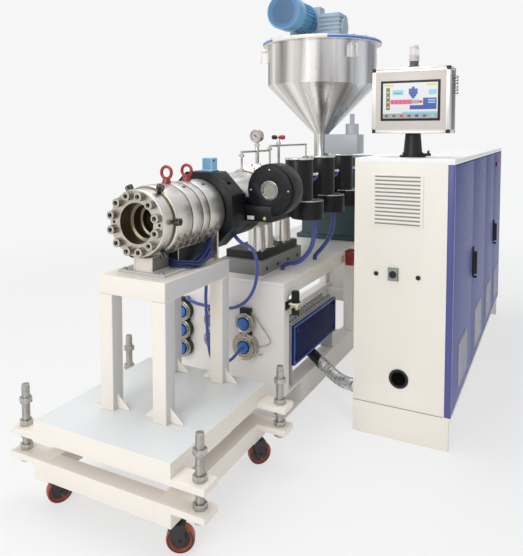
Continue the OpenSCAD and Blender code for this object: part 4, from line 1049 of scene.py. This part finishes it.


# Saddle: a grey base plate, a cream front block with painted shade in dark bronze on its sides, a dark
# middle block with the tied heater leads beside it, and a thin bright plate at the rear that carry the
# die on the stand.
def saddle():
    low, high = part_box("die_saddle")
    plate_z, front_end, rear_start = low.z + 0.0125, low.x + 0.1305, high.x - 0.0125
    slot = slot_of["die_saddle"]
    cream = paint("saddle_cream", (0.78, 0.72, 0.64), rough=0.38)
    dark = paint("saddle_dark", (0.016, 0.017, 0.020), rough=0.45, mottle=0.2, gloss=0.3)
    grey = paint("saddle_plate", (0.50, 0.50, 0.49), rough=0.38, mottle=0.1)
    bright = steel("saddle_rear", (0.70, 0.69, 0.67), rough=0.34, wear_and_sheen=0.12)
    # Dark bronze for the front block's side faces: painted shade.
    shade = paint("saddle_side_shade", (0.16, 0.14, 0.12), mottle=0.15)

    def part_of(centre, normal):
        if centre.x > rear_start:
            return 3
        if centre.z < plate_z:
            return 2
        if centre.x < front_end:
            return 0 if abs(normal.y) < 0.7 else 4
        return 1

    dressed("die_saddle", [cream, dark, grey, bright, shade], edge=0.002, pick=part_of)
    frame_w, face_x = 0.010, low.x + 0.020
    bm = bmesh.new()
    for y in (-0.048, 0.048 - frame_w):
        add_box(bm, (face_x - 0.003, y, plate_z), (face_x + 0.002, y + frame_w, plate_z + 0.058), 0.001)
    finish_mesh("saddle_frame", bm, [cream], slot)
    lead_blue = paint("lead_blue", (0.014, 0.032, 0.13), rough=0.34, mottle=0.3)
    lead_n, lead_r = 11, 0.0052
    bm = bmesh.new()
    for k in range(lead_n):
        row, tier = k % 4, k // 4
        sway, drift = 0.008 * math.sin(2.3 * k + 0.4), 0.010 * math.sin(3.7 * k + 1.1)
        y, z = -0.094 - 0.0135 * row, low.z + lead_r + 0.0105 * tier
        start = Vector((high.x - 0.050 - 0.012 * row, -0.112, low.z + 0.098 + 0.010 * tier - 0.008 * row))
        knee_z = low.z + 0.062 + 0.010 * tier + sway
        route = [start, start + Vector((-0.010, -0.016 - 0.005 * row, -0.006)),
                 Vector((high.x - 0.085 - 0.010 * row + drift, y - 0.030, knee_z)),
                 Vector((high.x - 0.130 + drift, y - 0.020, z + 0.024 + sway)),
                 Vector((high.x - 0.185 + drift, y - 0.010 + sway, z + 0.002)),
                 Vector((front_end + 0.075, y + sway, z + 0.003)),
                 Vector((front_end + 0.030 + drift, y + 0.010, z + 0.010)),
                 Vector((front_end + 0.008, -0.075 - 0.004 * row, z + 0.016)),
                 Vector((front_end + 0.012, -0.046, z + 0.020 + sway))]
        add_tube(bm, smooth_route(route, 5), lead_r, 8)
    finish_mesh("heater_leads", bm, [lead_blue], slot)
    corners = [(x, y, low.z + 0.012) for x in (low.x + 0.020, low.x + 0.095) for y in (-0.095, 0.095)]
    studs("saddle_bolts", corners, (0, 0, 1), 6, 0.009, 0.008, zinc, slot)


saddle()


# Trolley: the stand and its platform hang on four threaded jack screws over a welded frame of square
# tube with ear plates. Stand, platform and frame are sprayed cream, and the screws are zinc plated.
# The stand's faces towards -Y are painted grey: painted shade on that side.
def trolley():
    deck_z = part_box("platform")[1].z
    cream = paint("trolley_cream", (0.87, 0.81, 0.73), rough=0.36, mottle=0.03)
    # Grey for the stand's faces towards -Y: painted shade on the side away from the lamps.
    stand_side_shade = paint("stand_side_shade", (0.62, 0.61, 0.61), rough=0.36, mottle=0.03)
    deck_paint = paint("deck_paint", (0.74, 0.765, 0.76), rough=0.32)
    dressed("stand", [cream, stand_side_shade], edge=0.004, pick=lambda centre, normal: int(normal.y < -0.7))
    dressed("platform", [cream, deck_paint], edge=0.004,
            pick=lambda centre, normal: int(normal.z > 0.9 and centre.z > deck_z - 0.002))
    dressed("trolley_frame", [cream], edge=0.006)
    dressed("jack_screws", [zinc], edge=0.001)
    low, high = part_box("jack_screws")
    nut_r, rod_r, pitch = 0.027, 0.015, 0.0055
    flat = nut_r * math.cos(math.radians(30))
    turns_n = int((high.z - low.z - 0.006) / pitch)
    threads = [(x, y, low.z + 0.003 + pitch * k) for x in (low.x + nut_r, high.x - nut_r)
               for y in (low.y + flat, high.y - flat) for k in range(turns_n)]
    studs("jack_threads", threads, (0, 0, 1), 20, rod_r + 0.0014, pitch * 0.5, zinc, "jack_screws")


trolley()


# Castors: swivel forks of pressed steel, painted black, with red polyurethane wheels on black cores.
# Each fork turns under an ear plate of the trolley's frame.
def castors():
    fork_black = paint("fork_black", (0.020, 0.020, 0.021), rough=0.42, mottle=0.2)
    tyre_red = paint("tyre_red", (0.42, 0.055, 0.024), rough=0.34, mottle=0.3, coat=0.2)
    core_r = 0.027
    for i in range(1, 5):
        low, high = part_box(f"castor_wheel_{i}")
        hub = (low + high) / 2
        dressed(f"castor_fork_{i}", [fork_black], edge=0.001)
        dressed(f"castor_wheel_{i}", [tyre_red, fork_black], edge=0.001,
                pick=lambda centre, normal, hub=hub: int((centre - hub).length < core_r))


castors()


# Control cabinet: folded sheet walls on a plinth, cream with a white roof, and two pairs of blue
# doors with grey louvred vents and black swing handles.
def cabinet():
    low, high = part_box("cabinet_roof")
    end_x, door_y, lamp_z = low.x, low.y, 1.2
    switch_y, switch_z = (-0.835, -0.782), (0.795, 0.870)
    cream = paint("cabinet_cream", (0.89, 0.84, 0.75), rough=0.38, mottle=0.025)
    white = paint("roof_white", (0.93, 0.93, 0.92), rough=0.38, mottle=0.02)
    # The doors are painted lighter towards the floor: a painted reflection of light from the floor.
    blue = paint("door_blue", (0.060, 0.082, 0.28), rough=0.42, mottle=0.06, gloss=0.2,
                 foot=((0.125, 0.15, 0.38), 1.0))
    violet = paint("post_blue", (0.080, 0.085, 0.29), rough=0.36)
    vent_white = paint("vent_white", (0.86, 0.83, 0.75), mottle=0.03)
    vent_grey = paint("vent_grey", (0.56, 0.56, 0.57), rough=0.45, mottle=0.06)
    vent_dark = paint("vent_dark", (0.30, 0.29, 0.27), rough=0.6, mottle=0.1)
    seam_grey = paint("seam_grey", (0.66, 0.66, 0.70), rough=0.45)
    switch_grey = paint("switch_grey", (0.30, 0.33, 0.29), mottle=0.1)
    lamp_red = paint("door_lamp", (0.42, 0.030, 0.025), rough=0.3, mottle=0.1)

    def wall_part(centre, normal):
        if centre.x > end_x - 0.0005:
            return 0
        return 2 if centre.x > end_x - 0.0015 else 1

    def door_part(centre, normal):
        if centre.y < door_y - 0.0015:
            return 1
        if centre.y < door_y - 0.0005:
            return 2
        return 3 if abs(normal.x) > 0.9 else 0

    def fitting_part(centre, normal):
        in_switch = switch_z[0] < centre.z < switch_z[1] and switch_y[0] < centre.y < switch_y[1]
        return int(in_switch and centre.x > end_x - 0.0105)

    dressed("cabinet_plinth", [cream], edge=0.002)
    dressed("cabinet_walls", [cream, vent_white, vent_dark], edge=0.001, pick=wall_part)
    dressed("cabinet_roof", [white], edge=0.003)
    dressed("cabinet_posts", [violet], edge=0.003)
    dressed("end_fittings", [black_plastic, switch_grey], edge=0.0015, pick=fitting_part)
    for i in range(1, 5):
        dressed(f"door_{i}", [blue, vent_grey, vent_dark, seam_grey], edge=0.001, pick=door_part)
    for i in (2, 4):
        dressed(f"door_{i}_handle", [black_plastic, lamp_red], edge=0.003,
                pick=lambda centre, normal: int(centre.z > lamp_z))
    bm = bmesh.new()
    seam_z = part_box("cabinet_walls")[0].z
    add_box(bm, (end_x - 0.0006, door_y + 0.034, seam_z - 0.0025),
            (end_x + 0.004, high.y - 0.002, seam_z + 0.0015))
    finish_mesh("plinth_seam", bm, [vent_dark], "cabinet_walls")


cabinet()


# Operator panel: an aluminium case with black corner caps, a colour screen behind a black bezel and a
# finned block on its side, on a black swivel pedestal, with a signal lamp on top.
def screen_tone(name, colour):
    """Lit screen area: its own colour glows through glass, with a faint row pattern."""
    material, tree, shader = new_material(name)
    rows = wire(tree, "ShaderNodeTexWave", {"Vector": object_place(tree), "Scale": 320.0, "Distortion": 0.0},
                bands_direction="Z").outputs["Fac"]
    tone = blend(tree, rows, tuple(c * 0.93 for c in colour) + (1,), colour + (1,))
    tree.links.new(tone, shader.inputs["Emission Color"])
    shader.inputs["Emission Strength"].default_value = 0.85
    shader.inputs["Base Color"].default_value = (0.03, 0.03, 0.03, 1)
    shader.inputs["Roughness"].default_value = 0.18
    return material


def operator_panel():
    low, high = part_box("hmi_housing")
    body = frame["nodes"]["hmi_housing"]["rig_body"]
    corner = 0.018
    foot, top = low.z + corner, high.z - corner
    case = steel("panel_case", (0.76, 0.73, 0.70), rough=0.38, stretch=(1, 0.03, 1), wear_and_sheen=0.06, scale=90)
    sheet = paint("panel_sheet", (0.66, 0.60, 0.55), rough=0.36)
    side_grey = paint("panel_side", (0.16, 0.155, 0.18), mottle=0.1)
    silver = steel("panel_fins", (0.74, 0.74, 0.70), rough=0.35)
    dressed("hmi_pedestal", [black_plastic], edge=0.002)
    dressed("hmi_housing", [case], edge=0.004)
    dressed("hmi_trim", [black_plastic, silver], edge=0.002,
            pick=lambda centre, normal: int(centre.y < low.y - 0.0005))
    bm = bmesh.new()
    add_box(bm, (low.x - 0.0015, low.y + corner, foot), (low.x + 0.002, high.y - corner, top), 0.0006, 0)
    add_box(bm, (low.x + 0.050, low.y - 0.0015, foot), (high.x - corner, low.y + 0.002, top), 0.0006, 1)
    finish_mesh("panel_sheets", bm, [sheet, side_grey], "hmi_housing", body)
    bm = bmesh.new()
    for y in (low.y - 0.001, high.y - 0.011):
        add_box(bm, (low.x - 0.004, y, foot), (low.x + 0.016, y + 0.012, top), 0.004)
    for z in (low.z - 0.001, high.z - 0.011):
        add_box(bm, (low.x - 0.004, low.y + corner, z), (low.x + 0.016, high.y - corner, z + 0.012), 0.004)
    finish_mesh("panel_frame", bm, [case], "hmi_housing", body)


def panel_screen():
    low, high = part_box("hmi_housing")
    face_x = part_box("hmi_trim")[0].x
    body = frame["nodes"]["hmi_housing"]["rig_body"]
    side, foot, top, layer_t, area_t = 0.0575, low.z + 0.074, low.z + 0.250, 0.0004, 0.0008
    left, wide, tall = high.y - side, low.y - high.y + 2 * side, top - foot
    tones = {"ground": (0.86, 0.88, 0.90), "bar": (0.42, 0.44, 0.46), "aqua": (0.30, 0.70, 0.76),
             "lemon": (0.78, 0.74, 0.22), "olive": (0.17, 0.18, 0.035), "pink": (0.80, 0.12, 0.36),
             "red": (0.72, 0.05, 0.04), "blue": (0.025, 0.075, 0.42), "slate": (0.10, 0.14, 0.22)}
    names = list(tones)
    keys = ("slate", "olive", "red", "slate", "blue", "slate", "aqua")
    # Tone, left, foot, right and top as shares of the screen, and layer of each area
    areas = [("ground", 0, 0, 1, 1, 1), ("bar", 0, 0, 1, 0.14, 2), ("aqua", 0.36, 0.14, 1, 0.19, 2)]
    areas += [(tone, 0.04 + 0.14 * i, 0.035, 0.10 + 0.14 * i, 0.105, 3) for i, tone in enumerate(keys)]
    areas += [("lemon", 0.02, 0.90, 0.20, 0.97, 2), ("lemon", 0.80, 0.90, 0.98, 0.97, 2),
              ("olive", 0.06, 0.24, 0.13, 0.87, 2)]
    areas += [("lemon", 0.075, 0.30 + 0.14 * i, 0.115, 0.34 + 0.14 * i, 3) for i in range(4)]
    areas += [("aqua", 0.18, 0.66, 0.38, 0.80, 2), ("aqua", 0.84, 0.66, 0.98, 0.80, 2),
              ("slate", 0.21, 0.70, 0.35, 0.72, 3), ("pink", 0.14, 0.40, 0.54, 0.53, 2)]
    areas += [("red", 0.17 + 0.075 * i, 0.43, 0.19 + 0.075 * i, 0.50, 3) for i in range(5)]
    areas += [("bar", 0.54, 0.41, 0.66, 0.52, 2), ("red", 0.66, 0.43, 0.73, 0.50, 2),
              ("blue", 0.50, 0.25, 0.98, 0.37, 2), ("blue", 0.74, 0.37, 0.98, 0.57, 2),
              ("aqua", 0.83, 0.42, 0.96, 0.46, 3), ("aqua", 0.83, 0.49, 0.96, 0.53, 3)]
    areas += [("blue", 0.56 - half, 0.56 + 0.055 * i, 0.56 + half, 0.616 + 0.055 * i, 2)
              for i, half in enumerate((0.030, 0.055, 0.080, 0.080, 0.080))]
    areas += [("blue", 0.535, 0.83, 0.585, 0.89, 2)]
    bm = bmesh.new()
    for tone, u0, v0, u1, v1, layer in areas:
        x = face_x - layer_t * layer
        add_box(bm, (x, left + wide * u1, foot + tall * v0), (x + area_t, left + wide * u0, foot + tall * v1),
                index=names.index(tone))
    screens = [screen_tone("screen_" + name, colour) for name, colour in tones.items()]
    finish_mesh("panel_screen", bm, screens, "hmi_housing", body)


operator_panel()
panel_screen()


# Signal lamp: a pale moulded lamp with a clear bright lens on a dark neck, screwed to the panel's top.
# Its cap and its lens are separate mouldings.
def signal_lamp():
    low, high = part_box("beacon")
    centre = Vector(((low.x + high.x) / 2, (low.y + high.y) / 2, low.z))
    body = frame["nodes"]["beacon"]["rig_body"]
    pale = paint("lamp_body", (0.66, 0.58, 0.57), rough=0.35)
    neck = paint("lamp_neck", (0.10, 0.10, 0.105), mottle=0.1)
    lens = screen_tone("lamp_lens", (0.86, 0.84, 0.84))
    dressed("beacon", [pale, neck], edge=0.001, pick=lambda spot, normal: int(spot.z < low.z + 0.0365))
    foot, top, lens_r, edge_r = 0.066, 0.096, 0.0262, 0.0256
    profile = [(foot, 0.0), (foot, edge_r), (foot + 0.004, lens_r), (top - 0.004, lens_r), (top, edge_r),
               (top, 0.0)]
    bm = bmesh.new()
    add_turned(bm, centre, (0, 0, 1), profile, sides=32)
    finish_mesh("lamp_lens", bm, [lens], "beacon", body)


signal_lamp()


# Hoses: blue plastic air and water hoses pushed on to their fittings, and a cable conduit from the
# terminal box to the cabinet, black where its wires leave the box and ribbed below.
def hose(name, points, radius, material, slot, **facts):
    line = smooth_route(points)
    curve = bpy.data.curves.new(name + "_line", "CURVE")
    curve.dimensions = "3D"
    curve.bevel_depth = radius
    curve.bevel_resolution = 5
    curve.use_fill_caps = True
    spline = curve.splines.new("POLY")
    spline.points.add(len(line) - 1)
    for spot, point in zip(spline.points, line):
        spot.co = (*point, 1)
    curve.materials.append(material)
    piece = bpy.data.objects.new(name + "_line", curve)
    scene.collection.objects.link(piece)
    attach(piece, "machine")
    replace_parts(piece, name)


hose_blue = paint("hose_blue", (0.055, 0.085, 0.36), rough=0.3, mottle=0.12, coat=0.3)
front_hose = [
    (-0.345, -0.128, 1.029), (-0.345, -0.148, 1.009), (-0.325, -0.162, 0.988), (-0.285, -0.165, 0.972),
    (-0.240, -0.162, 0.952), (-0.200, -0.160, 0.922), (-0.170, -0.156, 0.882), (-0.150, -0.150, 0.837),
    (-0.135, -0.140, 0.787), (-0.123, -0.125, 0.735), (-0.113, -0.100, 0.685), (-0.105, -0.068, 0.642),
    (-0.100, -0.030, 0.610), (-0.100, 0.015, 0.587), (-0.100, 0.065, 0.577), (-0.100, 0.120, 0.573),
    (-0.100, 0.175, 0.572), (-0.100, 0.230, 0.575), (-0.098, 0.280, 0.582), (-0.085, 0.325, 0.588),
    (-0.066, 0.345, 0.590), (-0.050, 0.345, 0.590)]
hose("front_hose", front_hose, 0.009, hose_blue, "hose_blue", stiffness="medium", lay="hanging")
drop_hose = [
    (-0.498, -0.060, 0.958), (-0.478, -0.060, 0.958), (-0.450, -0.050, 0.955), (-0.425, -0.035, 0.938),
    (-0.410, -0.020, 0.905), (-0.405, -0.010, 0.865), (-0.405, -0.005, 0.815), (-0.405, -0.002, 0.765),
    (-0.405, 0.000, 0.715), (-0.405, -0.002, 0.665), (-0.405, -0.005, 0.615), (-0.405, -0.008, 0.565),
    (-0.403, -0.011, 0.515), (-0.398, -0.014, 0.465), (-0.385, -0.018, 0.420), (-0.355, -0.022, 0.385),
    (-0.310, -0.026, 0.362), (-0.260, -0.030, 0.352), (-0.210, -0.033, 0.352), (-0.165, -0.036, 0.364),
    (-0.130, -0.038, 0.376), (-0.110, -0.038, 0.376)]
hose("drop_hose", drop_hose, 0.008, hose_blue, "hose_blue", stiffness="medium", lay="hanging")
zone_hose_1 = [
    (0.190, -0.330, 1.059), (0.190, -0.330, 1.015), (0.192, -0.327, 0.970), (0.196, -0.318, 0.925),
    (0.202, -0.300, 0.880), (0.208, -0.272, 0.840), (0.215, -0.238, 0.808), (0.222, -0.200, 0.788),
    (0.228, -0.160, 0.778), (0.230, -0.130, 0.765), (0.230, -0.118, 0.752), (0.230, -0.118, 0.737)]
hose("zone_hose_1", zone_hose_1, 0.013, hose_blue, "hose_blue", stiffness="stiff", lay="hanging")
zone_hose_2 = [
    (0.520, -0.320, 1.059), (0.520, -0.320, 1.015), (0.525, -0.312, 0.960), (0.535, -0.292, 0.905),
    (0.548, -0.262, 0.855), (0.560, -0.225, 0.810), (0.568, -0.192, 0.775), (0.570, -0.180, 0.755),
    (0.570, -0.180, 0.737)]
hose("zone_hose_2", zone_hose_2, 0.013, hose_blue, "hose_blue", stiffness="stiff", lay="hanging")
conduit = [
    (0.410, -0.195, 0.255), (0.410, -0.195, 0.240), (0.402, -0.235, 0.205), (0.378, -0.290, 0.180),
    (0.340, -0.350, 0.162), (0.290, -0.410, 0.153), (0.235, -0.470, 0.156), (0.180, -0.535, 0.170),
    (0.145, -0.572, 0.184), (0.130, -0.590, 0.188), (0.130, -0.609, 0.188)]


def cable_conduit():
    radius, rib, rib_pitch, black_to = 0.035, 0.0032, 0.011, -0.300
    shade = steel("conduit_shade", (0.34, 0.34, 0.33), rough=0.5, wear_and_sheen=0.4, scale=110)
    wrap = steel("conduit_wrap", (0.84, 0.84, 0.82), rough=0.5, wear_and_sheen=0.6, scale=110)
    route = smooth_route(conduit, 26)
    line, radii, run = [], [], 0.0
    for i, point in enumerate(route):
        run += (point - route[i - 1]).length if i else 0.0
        ribbed = point.y < black_to
        line.append(point)
        groove = rib * (0.5 + 0.5 * math.cos(2 * math.pi * run / rib_pitch)) if ribbed else 0.003
        radii.append(radius - groove)
    bm = bmesh.new()
    add_tube(bm, line, radii, 20)
    for face in bm.faces:
        x, y, z = face.calc_center_median()
        crumple = math.sin(330 * x + 120 * z) * math.sin(260 * y - 190 * z)
        face.material_index = 1 if y > black_to else 2 if crumple > 0.30 else 0
    piece = finish_mesh("cable_conduit_line", bm, [wrap, black_plastic, shade], "conduit_grey", crease=60)
    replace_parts(piece, "cable_conduit")


cable_conduit()
